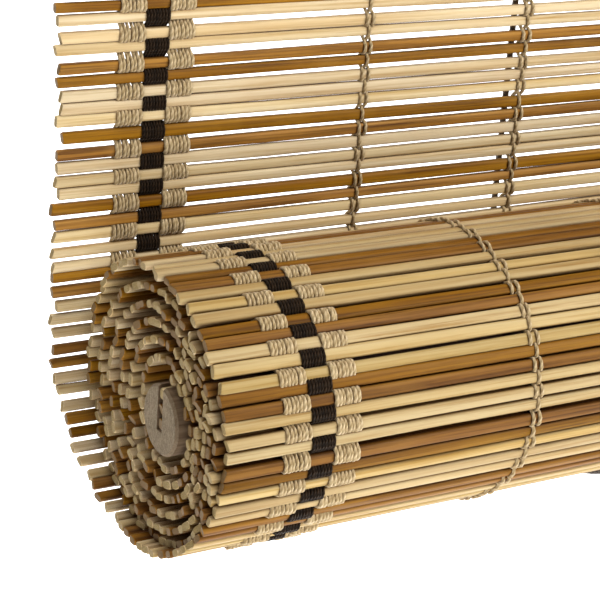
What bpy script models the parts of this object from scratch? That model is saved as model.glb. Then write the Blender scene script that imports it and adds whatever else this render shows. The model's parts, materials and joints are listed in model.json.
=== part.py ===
"""A roll-up blind of woven bamboo slats, partly rolled up round its loose bottom dowel.

Axes: +X along the slats to the right, -Y into the room, +Z up. The origin is the centre of the
headrail's flat top face, above the plane in which the curtain hangs.
"""

import math

import bmesh
import bpy
from mathutils import Matrix, Vector

MM = 0.001

# Clearance between pieces that touch
GAP = 0.3 * MM

# How far a cutting body reaches past the faces that it opens
OVERCUT = 5 * MM

# Curtain
CURTAIN_WIDTH = 700 * MM
SLAT_THICKNESS = 2.6 * MM
SLAT_HEIGHT = 3.8 * MM
SLAT_PITCH = 4.6 * MM
WEB_THICKNESS = 1.0 * MM

# Roll
ROLL_RADIUS = 47 * MM
ROLL_SHIFT = 9 * MM
ROLL_TURNS = 6.75
ROLL_CENTRE_Z = -480 * MM
ROLL_STEPS_PER_TURN = 30
INNER_TURN_RADIUS = 13.9 * MM
DOWEL_RADIUS = 11 * MM
DOWEL_OFFSET = (-14.5 * MM, -2.2 * MM)
DOWEL_KERF_WIDTH = 3.2 * MM
DOWEL_KERF_DEPTH = 14.5 * MM
DOWEL_OVERHANG = 2 * MM
DOWEL_CHAMFER = 0.8 * MM
PINNED_SLATS = 3
PINNED_SLAT_CHAMFER = 0.6 * MM
NAIL_RADIUS = 0.8 * MM
NAIL_PLACES = (-0.9, 0, 0.9)
NAIL_ABOVE_KERF_FLOOR = 6.6 * MM
NAIL_HEAD_SUNK = 0.4 * MM
NAIL_TIP_Y = 5.5 * MM

# Headrail
HEAD_LENGTH = 776 * MM
HEAD_THICKNESS = 19 * MM
HEAD_BACK_Y = 10 * MM
HEAD_FRONT_Y = -54 * MM
HEAD_CHAMFER = 0.8 * MM
KERF_DEPTH = 12 * MM
KERF_END_SPARE = 1 * MM
SPLINE_THICKNESS = 3.1 * MM
SPLINE_HEIGHT = 10 * MM

# Cords
CORD_RADIUS = 1.1 * MM
LIFT_CORD_X = 178 * MM
REAR_CORD_Y = 4.2 * MM
CORD_HOLE_RADIUS = 1.5 * MM
KNOT_RADIUS = 3.6 * MM
KNOT_POCKET_RADIUS = 4.6 * MM
KNOT_POCKET_DEPTH = 7 * MM
CORD_LEAVE_ANGLE = math.radians(15)

# Pulleys, with one groove plane for each lift cord
SHEAVE_RADIUS = 8 * MM
GROOVE_RADIUS = 6 * MM
PITCH_RADIUS = 7.1 * MM
SHEAVE_WIDTH = 6 * MM
GROOVE_HALF_WIDTH = 2.2 * MM
GROOVE_SHOULDER = 0.4 * MM
GROOVE_BED = 0.1 * MM
AXLE_RADIUS = 1.5 * MM
AXLE_HEAD_RADIUS = 2.4 * MM
AXLE_HEAD_HEIGHT = 0.8 * MM
SHEAVE_Z = -32 * MM
LEFT_PLANE_Y = -48 * MM
RIGHT_PLANE_Y = -40 * MM
STRAP_THICKNESS = 1.2 * MM
STRAP_WIDTH = 9 * MM
PULLEY_BASE_LENGTH = 29 * MM
PLATE_SCREW_INSET = 4 * MM

# Cord lock
LOCK_CORD_X = 374 * MM
LOCK_BASE_LENGTH = 32 * MM
LOCK_DEPTH = 19.4 * MM
LOCK_CHEEK_BOTTOM_Z = -47 * MM
LOCK_CHEEK_INSET = 5 * MM
LOCK_CHEEK_CORNER = 5 * MM
LOCK_CHEEK_TOE = 1 * MM
LOCK_SHEAVE_WIDTH = 15.6 * MM
LOCK_ROLLER_RADIUS = 3.5 * MM
LOCK_ROLLER_TRAVEL = 5 * MM
LOCK_ROLLER_Z = -35 * MM
LOCK_PIN_RADIUS = 1.3 * MM
LOCK_PIN_OVERHANG = 1.2 * MM
LOCK_SLOT_ANGLE = math.radians(60)
ROLLER_FLUTES = 14
FLUTE_DEPTH = 0.35 * MM

# Mounting brackets
BRACKET_X = 376 * MM
BRACKET_WIDTH = 20 * MM
BRACKET_THICKNESS = 1.5 * MM
BRACKET_FOOT = 34 * MM
BRACKET_DROP = 28 * MM
BRACKET_SCREW_YS = (-4 * MM, -17 * MM)
WALL_HOLE_RADIUS = 2.25 * MM
WALL_HOLE_DROP = 17.4 * MM

# Screws
SCREW_RADIUS = 1.5 * MM
SCREW_HEAD_RADIUS = 2.8 * MM
SCREW_HEAD_HEIGHT = 1.4 * MM
SCREW_LENGTH = 12 * MM
SCREW_POINT = 3 * MM
PILOT_HOLE_SPARE = 2 * MM

# Pull cord
BEAD_TOP_Z = -130 * MM
BEAD_HEIGHT = 18 * MM
BEAD_RADIUS = 7 * MM
COIL_MID_RADIUS = 17.6 * MM
COIL_SECTION_RADIUS = 5.8 * MM
COIL_CENTRE_Z = -215 * MM
TIE_WALL = 1.2 * MM
TIE_WIDTH = 7 * MM
TASSEL_TOP_Z = -262 * MM
TASSEL_HEIGHT = 30 * MM
TASSEL_RADIUS = 7 * MM

# Worked out from the sizes above
CURTAIN_HALF = CURTAIN_WIDTH / 2
CURTAIN_FACE = SLAT_THICKNESS / 2
ROLL_CENTRE_Y = -(CURTAIN_FACE + GAP + ROLL_RADIUS)
ROLLING_RADIUS = -ROLL_CENTRE_Y
LIFT_TRAVEL = 2 * math.pi * ROLLING_RADIUS
CURTAIN_SPLIT_Z = ROLL_CENTRE_Z + LIFT_TRAVEL
HEAD_BOTTOM_Z = -HEAD_THICKNESS
STRAP_TOP_Z = HEAD_BOTTOM_Z - GAP
DOWEL_Y = ROLL_CENTRE_Y + DOWEL_OFFSET[0]
DOWEL_Z = ROLL_CENTRE_Z + DOWEL_OFFSET[1]
LOOP_RADIUS_BACK = REAR_CORD_Y - ROLL_CENTRE_Y
LOOP_RADIUS_FRONT = ROLL_RADIUS + GAP + 0.1 * MM + CORD_RADIUS
LOCK_SHEAVE_X = LOCK_CORD_X - PITCH_RADIUS
LOCK_MIDDLE_Y = (LEFT_PLANE_Y + RIGHT_PLANE_Y) / 2
PULL_Y = LOCK_MIDDLE_Y
TASSEL_X = LOCK_CORD_X + COIL_SECTION_RADIUS + CORD_RADIUS + 2 * GAP


def clear_scene():
    for obj in list(bpy.data.objects):
        bpy.data.objects.remove(obj, do_unlink=True)


def material(name, colour, roughness, metallic=0.0):
    made = bpy.data.materials.new(name)
    made.use_nodes = True
    shader = made.node_tree.nodes["Principled BSDF"]
    shader.inputs["Base Color"].default_value = (*colour, 1.0)
    shader.inputs["Roughness"].default_value = roughness
    shader.inputs["Metallic"].default_value = metallic
    made.diffuse_color = (*colour, 1.0)
    return made


def finish_mesh(name, bm, look, smooth=False, origin=(0, 0, 0), parent=None):
    """Turns a bmesh in world coordinates into an object whose own origin is `origin`."""
    bmesh.ops.recalc_face_normals(bm, faces=bm.faces)
    bm.transform(Matrix.Translation(-Vector(origin)))
    mesh = bpy.data.meshes.new(name)
    bm.to_mesh(mesh)
    bm.free()
    if smooth:
        mesh.shade_smooth()
        mesh.set_sharp_from_angle(angle=math.radians(35))
    if look:
        mesh.materials.append(look)
    obj = bpy.data.objects.new(name, mesh)
    bpy.context.scene.collection.objects.link(obj)
    obj.location = origin
    if parent:
        obj.parent = parent
        obj.matrix_parent_inverse = Matrix.Translation(-parent.location)
    return obj


def axis_empty(name, location, parent=None):
    """An empty on a joint's axis, which the moving pieces are parented to."""
    empty = bpy.data.objects.new(name, None)
    bpy.context.scene.collection.objects.link(empty)
    empty.location = location
    if parent:
        empty.parent = parent
        empty.matrix_parent_inverse = Matrix.Translation(-parent.location)
    return empty


def add_box(bm, low, high):
    size = [b - a for a, b in zip(low, high)]
    centre = [(a + b) / 2 for a, b in zip(low, high)]
    place = Matrix.Translation(centre) @ Matrix.Diagonal((*size, 1))
    return bmesh.ops.create_cube(bm, size=1, matrix=place)["verts"]


def add_prism(bm, outline, axis, start, end):
    """A closed prism of a 2-D outline, run from `start` to `end` along axis "X" or "Y".

    The outline's pairs are (y, z) for axis X and (x, z) for axis Y.
    """
    def point(pair, along):
        if axis == "X":
            return (along, pair[0], pair[1])
        return (pair[0], along, pair[1])

    first = [bm.verts.new(point(pair, start)) for pair in outline]
    second = [bm.verts.new(point(pair, end)) for pair in outline]
    bm.faces.new(first)
    bm.faces.new(reversed(second))
    count = len(outline)
    for i in range(count):
        j = (i + 1) % count
        bm.faces.new((first[i], second[i], second[j], first[j]))


def add_turned(bm, profile, centre, axis, steps=24, closed_ring=False):
    """A body turned round `axis` through `centre` from (radius, distance along the axis) pairs.

    A solid profile starts and ends at radius 0; a ring's profile is a closed loop.
    """
    turn = {
        "X": Matrix.Rotation(math.radians(90), 4, "Y"),
        "Y": Matrix.Rotation(math.radians(-90), 4, "X"),
        "Z": Matrix.Identity(4),
    }[axis]
    place = Matrix.Translation(centre) @ turn
    rows = []
    for radius, along in profile:
        if radius == 0:
            rows.append([bm.verts.new(place @ Vector((0, 0, along)))])
            continue
        row = []
        for i in range(steps):
            angle = 2 * math.pi * i / steps
            point = Vector((radius * math.cos(angle), radius * math.sin(angle), along))
            row.append(bm.verts.new(place @ point))
        rows.append(row)
    pairs = list(zip(rows, rows[1:]))
    if closed_ring:
        pairs.append((rows[-1], rows[0]))
    for below, above in pairs:
        for i in range(steps):
            j = (i + 1) % steps
            corners = []
            for vert in (below[i % len(below)], below[j % len(below)],
                         above[j % len(above)], above[i % len(above)]):
                if vert not in corners:
                    corners.append(vert)
            bm.faces.new(corners)


def cylinder_profile(radius, start, end):
    return [(0, start), (radius, start), (radius, end), (0, end)]


def cut(obj, cutter):
    cutter.hide_render = True
    cutter.display_type = "WIRE"
    modifier = obj.modifiers.new("cut", "BOOLEAN")
    modifier.operation = "DIFFERENCE"
    modifier.solver = "EXACT"
    modifier.object = cutter


def join(obj, other):
    other.hide_render = True
    other.display_type = "WIRE"
    modifier = obj.modifiers.new("join", "BOOLEAN")
    modifier.operation = "UNION"
    modifier.solver = "EXACT"
    modifier.object = other


def tube(name, points, radius, look, parent=None, resolution=2):
    """A cord as a bevelled polyline with filled caps."""
    curve = bpy.data.curves.new(name, "CURVE")
    curve.dimensions = "3D"
    curve.bevel_depth = radius
    curve.bevel_resolution = resolution
    curve.use_fill_caps = True
    spline = curve.splines.new("POLY")
    spline.points.add(len(points) - 1)
    for target, point in zip(spline.points, points):
        target.co = (*point, 1)
    curve.materials.append(look)
    obj = bpy.data.objects.new(name, curve)
    bpy.context.scene.collection.objects.link(obj)
    if parent:
        obj.parent = parent
        obj.matrix_parent_inverse = Matrix.Translation(-parent.location)
    return obj


def arc(centre, radius, start, end, steps):
    """(u, v) points round `centre` from angle `start` to `end`."""
    points = []
    for i in range(steps + 1):
        angle = start + (end - start) * i / steps
        points.append((centre[0] + radius * math.cos(angle),
                       centre[1] + radius * math.sin(angle)))
    return points


def screw_profile():
    """A pan head below the seat at height 0, with its shank going up."""
    return [
        (0, -SCREW_HEAD_HEIGHT),
        (SCREW_HEAD_RADIUS * 0.7, -SCREW_HEAD_HEIGHT),
        (SCREW_HEAD_RADIUS, -SCREW_HEAD_HEIGHT * 0.4),
        (SCREW_HEAD_RADIUS, 0),
        (SCREW_RADIUS, 0),
        (SCREW_RADIUS, SCREW_LENGTH - SCREW_POINT),
        (0, SCREW_LENGTH),
    ]


def screws(name, places, seat_z, look):
    """Screws with their heads against a plate whose underside is at seat_z."""
    for number, (x, y) in enumerate(places, 1):
        bm = bmesh.new()
        add_turned(bm, screw_profile(), (x, y, seat_z - GAP), "Z", steps=16)
        finish_mesh(f"{name}_{number}", bm, look, smooth=True)


def pilot_holes(bm, places):
    """Blind holes for screws in the headrail's underside, wider than the shanks by a gap."""
    profile = cylinder_profile(SCREW_RADIUS + GAP, -OVERCUT, SCREW_LENGTH)
    for x, y in places:
        add_turned(bm, profile, (x, y, HEAD_BOTTOM_Z), "Z", steps=16)


def bracket_screw_places(side):
    return [(side * BRACKET_X, y) for y in BRACKET_SCREW_YS]


def pulley_x(side):
    """The left cord rises at -LIFT_CORD_X and the right at +LIFT_CORD_X; both turn to the right."""
    return side * LIFT_CORD_X + PITCH_RADIUS


def pulley_screw_places(side):
    offset = PULLEY_BASE_LENGTH / 2 - PLATE_SCREW_INSET
    y = LEFT_PLANE_Y if side < 0 else RIGHT_PLANE_Y
    return [(pulley_x(side) - offset, y), (pulley_x(side) + offset, y)]


def lock_screw_places():
    offset = LOCK_BASE_LENGTH / 2 - PLATE_SCREW_INSET
    x = (LOCK_SHEAVE_X + LOCK_CORD_X) / 2
    return [(x - offset, LOCK_MIDDLE_Y), (x + offset, LOCK_MIDDLE_Y)]


def make_headrail(wood):
    """Board with chamfered edges, a kerf under it, cord holes with knot pockets, pilot holes."""
    bm = bmesh.new()
    add_box(bm, (-HEAD_LENGTH / 2, HEAD_FRONT_Y, -HEAD_THICKNESS),
            (HEAD_LENGTH / 2, HEAD_BACK_Y, 0))
    bmesh.ops.bevel(bm, geom=bm.edges[:], offset=HEAD_CHAMFER, segments=1, affect="EDGES")
    board = finish_mesh("headrail", bm, wood)

    bm = bmesh.new()
    kerf_front = -CURTAIN_FACE - 2 * GAP - SPLINE_THICKNESS
    kerf_back = CURTAIN_FACE + GAP
    kerf_half = CURTAIN_HALF + KERF_END_SPARE
    add_box(bm, (-kerf_half, kerf_front, HEAD_BOTTOM_Z - OVERCUT),
            (kerf_half, kerf_back, HEAD_BOTTOM_Z + KERF_DEPTH))
    cord_hole = cylinder_profile(CORD_HOLE_RADIUS, HEAD_BOTTOM_Z - OVERCUT,
                                 -KNOT_POCKET_DEPTH + KERF_END_SPARE)
    for side in (-1, 1):
        add_turned(bm, cord_hole, (side * LIFT_CORD_X, REAR_CORD_Y, 0), "Z", steps=16)
    pilot_holes(bm, bracket_screw_places(-1) + bracket_screw_places(1) + pulley_screw_places(-1)
                + pulley_screw_places(1) + lock_screw_places())
    cut(board, finish_mesh("headrail_cutter", bm, None))

    bm = bmesh.new()
    pocket = cylinder_profile(KNOT_POCKET_RADIUS, -KNOT_POCKET_DEPTH, OVERCUT)
    for side in (-1, 1):
        add_turned(bm, pocket, (side * LIFT_CORD_X, REAR_CORD_Y, 0), "Z", steps=20)
    cut(board, finish_mesh("knot_pocket_cutter", bm, None))


def make_head_spline(wood):
    """The strip that wedges the curtain's top edge in the headrail's kerf."""
    back = -CURTAIN_FACE - GAP
    top = HEAD_BOTTOM_Z + KERF_DEPTH - GAP
    bm = bmesh.new()
    add_box(bm, (-CURTAIN_HALF, back - SPLINE_THICKNESS + GAP, top - SPLINE_HEIGHT),
            (CURTAIN_HALF, back, top))
    finish_mesh("head_spline", bm, wood)


def curtain_outline(top, bottom):
    """Ribbed (y, z) section of the woven curtain: a crest for each slat, a dip between slats."""
    count = round((top - bottom) / SLAT_PITCH)
    pitch = (top - bottom) / count
    front = [(-WEB_THICKNESS / 2, top)]
    for i in range(count):
        front.append((-CURTAIN_FACE, top - pitch * (i + 0.5)))
        front.append((-WEB_THICKNESS / 2, top - pitch * (i + 1)))
    back = [(-y, z) for y, z in reversed(front)]
    return front + back


def make_curtain(name, top, bottom, look, parent=None):
    bm = bmesh.new()
    add_prism(bm, curtain_outline(top, bottom), "X", -CURTAIN_HALF, CURTAIN_HALF)
    finish_mesh(name, bm, look, parent=parent)


def spiral_point(turned, radial=0.0):
    """A point of the rolled curtain's middle line after `turned` turns in from the outside.

    The turns start concentric with the roll and end concentric with the dowel, which lies low
    and to the front, so they are loose at the back and tight at the front.
    """
    share = turned / ROLL_TURNS
    outer = ROLL_RADIUS - CURTAIN_FACE
    radius = outer + (INNER_TURN_RADIUS - outer) * share + radial
    angle = -2 * math.pi * turned
    y = ROLL_CENTRE_Y + DOWEL_OFFSET[0] * share + radius * math.cos(angle)
    z = ROLL_CENTRE_Z + DOWEL_OFFSET[1] * share + radius * math.sin(angle)
    return (y, z)


def make_slat_roll(look, parent):
    """The rolled curtain as one spiral strip."""
    count = round(ROLL_TURNS * ROLL_STEPS_PER_TURN)
    turns = [ROLL_TURNS * i / count for i in range(count + 1)]
    outer = [spiral_point(turned, CURTAIN_FACE) for turned in turns]
    inner = [spiral_point(turned, -CURTAIN_FACE) for turned in reversed(turns)]
    bm = bmesh.new()
    add_prism(bm, outer + inner, "X", -CURTAIN_HALF + ROLL_SHIFT, CURTAIN_HALF + ROLL_SHIFT)
    finish_mesh("slat_roll", bm, look, parent=parent)


def make_dowel(wood, slat_look, nail_look, parent):
    """Bottom dowel with a kerf from its top, the curtain's last slats in it, and their nails."""
    half = CURTAIN_HALF + DOWEL_OVERHANG
    rim = DOWEL_RADIUS - DOWEL_CHAMFER
    profile = [(0, -half), (rim, -half), (DOWEL_RADIUS, -half + DOWEL_CHAMFER),
               (DOWEL_RADIUS, half - DOWEL_CHAMFER), (rim, half), (0, half)]
    bm = bmesh.new()
    add_turned(bm, profile, (ROLL_SHIFT, DOWEL_Y, DOWEL_Z), "X", steps=36)
    dowel = finish_mesh("bottom_dowel", bm, wood, smooth=True, parent=parent)

    kerf_floor = DOWEL_Z + DOWEL_RADIUS - DOWEL_KERF_DEPTH
    bm = bmesh.new()
    add_box(bm, (ROLL_SHIFT - half - OVERCUT, DOWEL_Y - DOWEL_KERF_WIDTH / 2, kerf_floor),
            (ROLL_SHIFT + half + OVERCUT, DOWEL_Y + DOWEL_KERF_WIDTH / 2,
             DOWEL_Z + DOWEL_RADIUS + OVERCUT))
    cut(dowel, finish_mesh("dowel_kerf_cutter", bm, None))

    nail_z = kerf_floor + NAIL_ABOVE_KERF_FLOOR
    nail_xs = [ROLL_SHIFT + share * CURTAIN_HALF for share in NAIL_PLACES]
    nail_hole = cylinder_profile(NAIL_RADIUS + GAP, -DOWEL_RADIUS - OVERCUT, NAIL_TIP_Y + GAP)
    bm = bmesh.new()
    for x in nail_xs:
        add_turned(bm, nail_hole, (x, DOWEL_Y, nail_z), "Y", steps=10)
    nail_cutter = finish_mesh("nail_hole_cutter", bm, None)
    cut(dowel, nail_cutter)

    step = DOWEL_KERF_DEPTH / PINNED_SLATS
    for i in range(PINNED_SLATS):
        bottom = kerf_floor + GAP + i * step
        bm = bmesh.new()
        add_box(bm, (ROLL_SHIFT - CURTAIN_HALF, DOWEL_Y - CURTAIN_FACE, bottom),
                (ROLL_SHIFT + CURTAIN_HALF, DOWEL_Y + CURTAIN_FACE, bottom + SLAT_HEIGHT))
        long_edges = [edge for edge in bm.edges if edge.calc_length() > CURTAIN_HALF]
        bmesh.ops.bevel(bm, geom=long_edges, offset=PINNED_SLAT_CHAMFER, segments=1,
                        affect="EDGES")
        slat = finish_mesh(f"pinned_slat_{i + 1}", bm, slat_look, parent=parent)
        if bottom < nail_z < bottom + SLAT_HEIGHT + GAP:
            cut(slat, nail_cutter)

    head_y = NAIL_HEAD_SUNK - math.sqrt(DOWEL_RADIUS ** 2 - (nail_z - DOWEL_Z) ** 2)
    for number, x in enumerate(nail_xs, 1):
        bm = bmesh.new()
        add_turned(bm, cylinder_profile(NAIL_RADIUS, head_y, NAIL_TIP_Y),
                   (x, DOWEL_Y, nail_z), "Y", steps=10)
        finish_mesh(f"dowel_nail_{number}", bm, nail_look, smooth=True, parent=parent)


def make_mounting_bracket(name, side, steel):
    """Angle under the headrail's end, its upright leg flush with the back of the board."""
    x0 = side * BRACKET_X - BRACKET_WIDTH / 2
    x1 = side * BRACKET_X + BRACKET_WIDTH / 2
    outline = [
        (HEAD_BACK_Y, STRAP_TOP_Z),
        (HEAD_BACK_Y, STRAP_TOP_Z - BRACKET_DROP),
        (HEAD_BACK_Y - BRACKET_THICKNESS, STRAP_TOP_Z - BRACKET_DROP),
        (HEAD_BACK_Y - BRACKET_THICKNESS, STRAP_TOP_Z - BRACKET_THICKNESS),
        (HEAD_BACK_Y - BRACKET_FOOT, STRAP_TOP_Z - BRACKET_THICKNESS),
        (HEAD_BACK_Y - BRACKET_FOOT, STRAP_TOP_Z),
    ]
    bm = bmesh.new()
    add_prism(bm, outline, "X", x0, x1)
    bracket = finish_mesh(name, bm, steel)
    bm = bmesh.new()
    for x, y in bracket_screw_places(side):
        add_turned(bm, cylinder_profile(SCREW_RADIUS + GAP, -OVERCUT, OVERCUT),
                   (x, y, STRAP_TOP_Z), "Z", steps=16)
    add_turned(bm, cylinder_profile(WALL_HOLE_RADIUS, -OVERCUT, OVERCUT),
               (side * BRACKET_X, HEAD_BACK_Y, STRAP_TOP_Z - WALL_HOLE_DROP), "Y", steps=20)
    cut(bracket, finish_mesh(name + "_cutter", bm, None))


def cheek_outline(x, half_width, top, bottom_centre):
    """A strap hanging from `top`, rounded off round its hole at bottom_centre."""
    rounded = arc((x, bottom_centre), half_width, math.pi, 2 * math.pi, 10)
    return [(x - half_width, top)] + rounded + [(x + half_width, top)]


def make_pulley_bracket(name, side, plane_y, steel):
    """Base plate under the headrail with a cheek on each side of the sheave."""
    x = pulley_x(side)
    inner = SHEAVE_WIDTH / 2 + GAP
    outer = inner + STRAP_THICKNESS
    base_top = STRAP_TOP_Z
    base_bottom = base_top - STRAP_THICKNESS
    bm = bmesh.new()
    add_box(bm, (x - PULLEY_BASE_LENGTH / 2, plane_y - outer, base_bottom),
            (x + PULLEY_BASE_LENGTH / 2, plane_y + outer, base_top))
    plate = finish_mesh(name, bm, steel)
    for end, (start, stop) in (("front", (-outer, -inner)), ("back", (inner, outer))):
        bm = bmesh.new()
        outline = cheek_outline(x, STRAP_WIDTH / 2, base_top - STRAP_THICKNESS / 2, SHEAVE_Z)
        add_prism(bm, outline, "Y", plane_y + start, plane_y + stop)
        join(plate, finish_mesh(f"{name}_{end}_cheek", bm, None))
    bm = bmesh.new()
    add_turned(bm, cylinder_profile(AXLE_RADIUS + GAP, -outer - OVERCUT, outer + OVERCUT),
               (x, plane_y, SHEAVE_Z), "Y", steps=20)
    for place in pulley_screw_places(side):
        add_turned(bm, cylinder_profile(SCREW_RADIUS + GAP, -OVERCUT, OVERCUT),
                   (*place, base_top), "Z", steps=16)
    cut(plate, finish_mesh(name + "_cutter", bm, None))


def grooved_profile(width, groove_offsets):
    """Closed ring profile of a sheave with a round groove at each offset along its axis."""
    bore = AXLE_RADIUS + GAP
    half = width / 2
    shoulder = GROOVE_RADIUS + GROOVE_SHOULDER
    profile = [(bore, -half), (SHEAVE_RADIUS, -half)]
    for offset in groove_offsets:
        profile += [
            (SHEAVE_RADIUS, offset - GROOVE_HALF_WIDTH),
            (shoulder, offset - GROOVE_HALF_WIDTH / 2),
            (GROOVE_RADIUS - GROOVE_BED, offset),
            (shoulder, offset + GROOVE_HALF_WIDTH / 2),
            (SHEAVE_RADIUS, offset + GROOVE_HALF_WIDTH),
        ]
    return profile + [(SHEAVE_RADIUS, half), (bore, half)]


def make_sheave(name, x, y, width, groove_offsets, look):
    centre = (x, y, SHEAVE_Z)
    spinner = axis_empty(name + "_axis", centre)
    bm = bmesh.new()
    add_turned(bm, grooved_profile(width, groove_offsets), centre, "Y", steps=20,
               closed_ring=True)
    finish_mesh(name, bm, look, smooth=True, origin=centre, parent=spinner)


def make_axle(name, x, y, grip, look):
    """Riveted pin: `grip` is the distance between the outsides of the cheeks."""
    inside = grip / 2 + GAP
    outside = inside + AXLE_HEAD_HEIGHT
    profile = [
        (0, -outside), (AXLE_HEAD_RADIUS, -outside), (AXLE_HEAD_RADIUS, -inside),
        (AXLE_RADIUS, -inside), (AXLE_RADIUS, inside), (AXLE_HEAD_RADIUS, inside),
        (AXLE_HEAD_RADIUS, outside), (0, outside),
    ]
    bm = bmesh.new()
    add_turned(bm, profile, (x, y, SHEAVE_Z), "Y", steps=20)
    finish_mesh(name, bm, look, smooth=True)


def slot_outline(x, z, radius, travel):
    """Long hole along the locking roller's path."""
    end = (x + travel * math.cos(LOCK_SLOT_ANGLE), z + travel * math.sin(LOCK_SLOT_ANGLE))
    low = arc((x, z), radius, LOCK_SLOT_ANGLE + math.pi / 2, LOCK_SLOT_ANGLE + 1.5 * math.pi, 8)
    high = arc(end, radius, LOCK_SLOT_ANGLE - math.pi / 2, LOCK_SLOT_ANGLE + math.pi / 2, 8)
    return low + high


def lock_roller_x():
    return LOCK_CORD_X + CORD_RADIUS + GAP + LOCK_ROLLER_RADIUS


def make_cord_lock(steel, nylon, brass):
    """Housing of a base plate and two cheeks, a guide sheave, and a knurled roller in slots."""
    middle_x = (LOCK_SHEAVE_X + LOCK_CORD_X) / 2
    outer = LOCK_DEPTH / 2
    inner = outer - STRAP_THICKNESS
    low_x = middle_x - LOCK_BASE_LENGTH / 2
    high_x = middle_x + LOCK_BASE_LENGTH / 2
    base_bottom = STRAP_TOP_Z - STRAP_THICKNESS
    bm = bmesh.new()
    add_box(bm, (low_x, LOCK_MIDDLE_Y - outer, base_bottom),
            (high_x, LOCK_MIDDLE_Y + outer, STRAP_TOP_Z))
    housing = finish_mesh("cord_lock_housing", bm, steel)
    cheek_low_x = low_x + LOCK_CHEEK_INSET
    cheek_high_x = high_x - LOCK_CHEEK_TOE
    cheek_top = STRAP_TOP_Z - STRAP_THICKNESS / 2
    cheek = [
        (cheek_low_x, cheek_top),
        (cheek_low_x, LOCK_CHEEK_BOTTOM_Z + LOCK_CHEEK_CORNER),
        (cheek_low_x + LOCK_CHEEK_CORNER, LOCK_CHEEK_BOTTOM_Z),
        (cheek_high_x - LOCK_CHEEK_CORNER, LOCK_CHEEK_BOTTOM_Z),
        (cheek_high_x, LOCK_CHEEK_BOTTOM_Z + LOCK_CHEEK_CORNER),
        (cheek_high_x, cheek_top),
    ]
    for end, (start, stop) in (("front", (-outer, -inner)), ("back", (inner, outer))):
        bm = bmesh.new()
        add_prism(bm, cheek, "Y", LOCK_MIDDLE_Y + start, LOCK_MIDDLE_Y + stop)
        join(housing, finish_mesh(f"cord_lock_{end}_cheek", bm, None))
    bm = bmesh.new()
    reach = outer + OVERCUT
    add_turned(bm, cylinder_profile(AXLE_RADIUS + GAP, -reach, reach),
               (LOCK_SHEAVE_X, LOCK_MIDDLE_Y, SHEAVE_Z), "Y", steps=20)
    add_prism(bm, slot_outline(lock_roller_x(), LOCK_ROLLER_Z, LOCK_PIN_RADIUS + GAP,
                               LOCK_ROLLER_TRAVEL),
              "Y", LOCK_MIDDLE_Y - reach, LOCK_MIDDLE_Y + reach)
    for place in lock_screw_places():
        add_turned(bm, cylinder_profile(SCREW_RADIUS + GAP, -OVERCUT, OVERCUT),
                   (*place, STRAP_TOP_Z), "Z", steps=16)
    cut(housing, finish_mesh("cord_lock_cutter", bm, None))
    screws("cord_lock_screw", lock_screw_places(), base_bottom, steel)

    make_axle("lock_guide_axle", LOCK_SHEAVE_X, LOCK_MIDDLE_Y, LOCK_DEPTH, steel)
    offset = (RIGHT_PLANE_Y - LEFT_PLANE_Y) / 2
    make_sheave("lock_guide_sheave", LOCK_SHEAVE_X, LOCK_MIDDLE_Y, LOCK_SHEAVE_WIDTH,
                (-offset, offset), nylon)

    centre = (lock_roller_x(), LOCK_MIDDLE_Y, LOCK_ROLLER_Z)
    barrel_half = inner - 2 * GAP
    pin_half = outer + LOCK_PIN_OVERHANG
    flutes = []
    for i in range(2 * ROLLER_FLUTES):
        radius = LOCK_ROLLER_RADIUS - (FLUTE_DEPTH if i % 2 else 0)
        angle = math.pi * i / ROLLER_FLUTES
        flutes.append((centre[0] + radius * math.cos(angle), centre[2] + radius * math.sin(angle)))
    bm = bmesh.new()
    add_prism(bm, flutes, "Y", centre[1] - barrel_half, centre[1] + barrel_half)
    roller = finish_mesh("lock_roller", bm, brass, origin=centre)
    bm = bmesh.new()
    add_turned(bm, cylinder_profile(LOCK_PIN_RADIUS, -pin_half, pin_half), centre, "Y", steps=16)
    join(roller, finish_mesh("lock_roller_pin", bm, None))


def loop_point(angle):
    """(y, z) on the cord loop under the roll; angle 0 is behind the curtain, -180 at the front."""
    share = -angle / math.pi
    radius = LOOP_RADIUS_BACK + (LOOP_RADIUS_FRONT - LOOP_RADIUS_BACK) * min(1, share)
    return (ROLL_CENTRE_Y + radius * math.cos(angle), ROLL_CENTRE_Z + radius * math.sin(angle))


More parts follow.
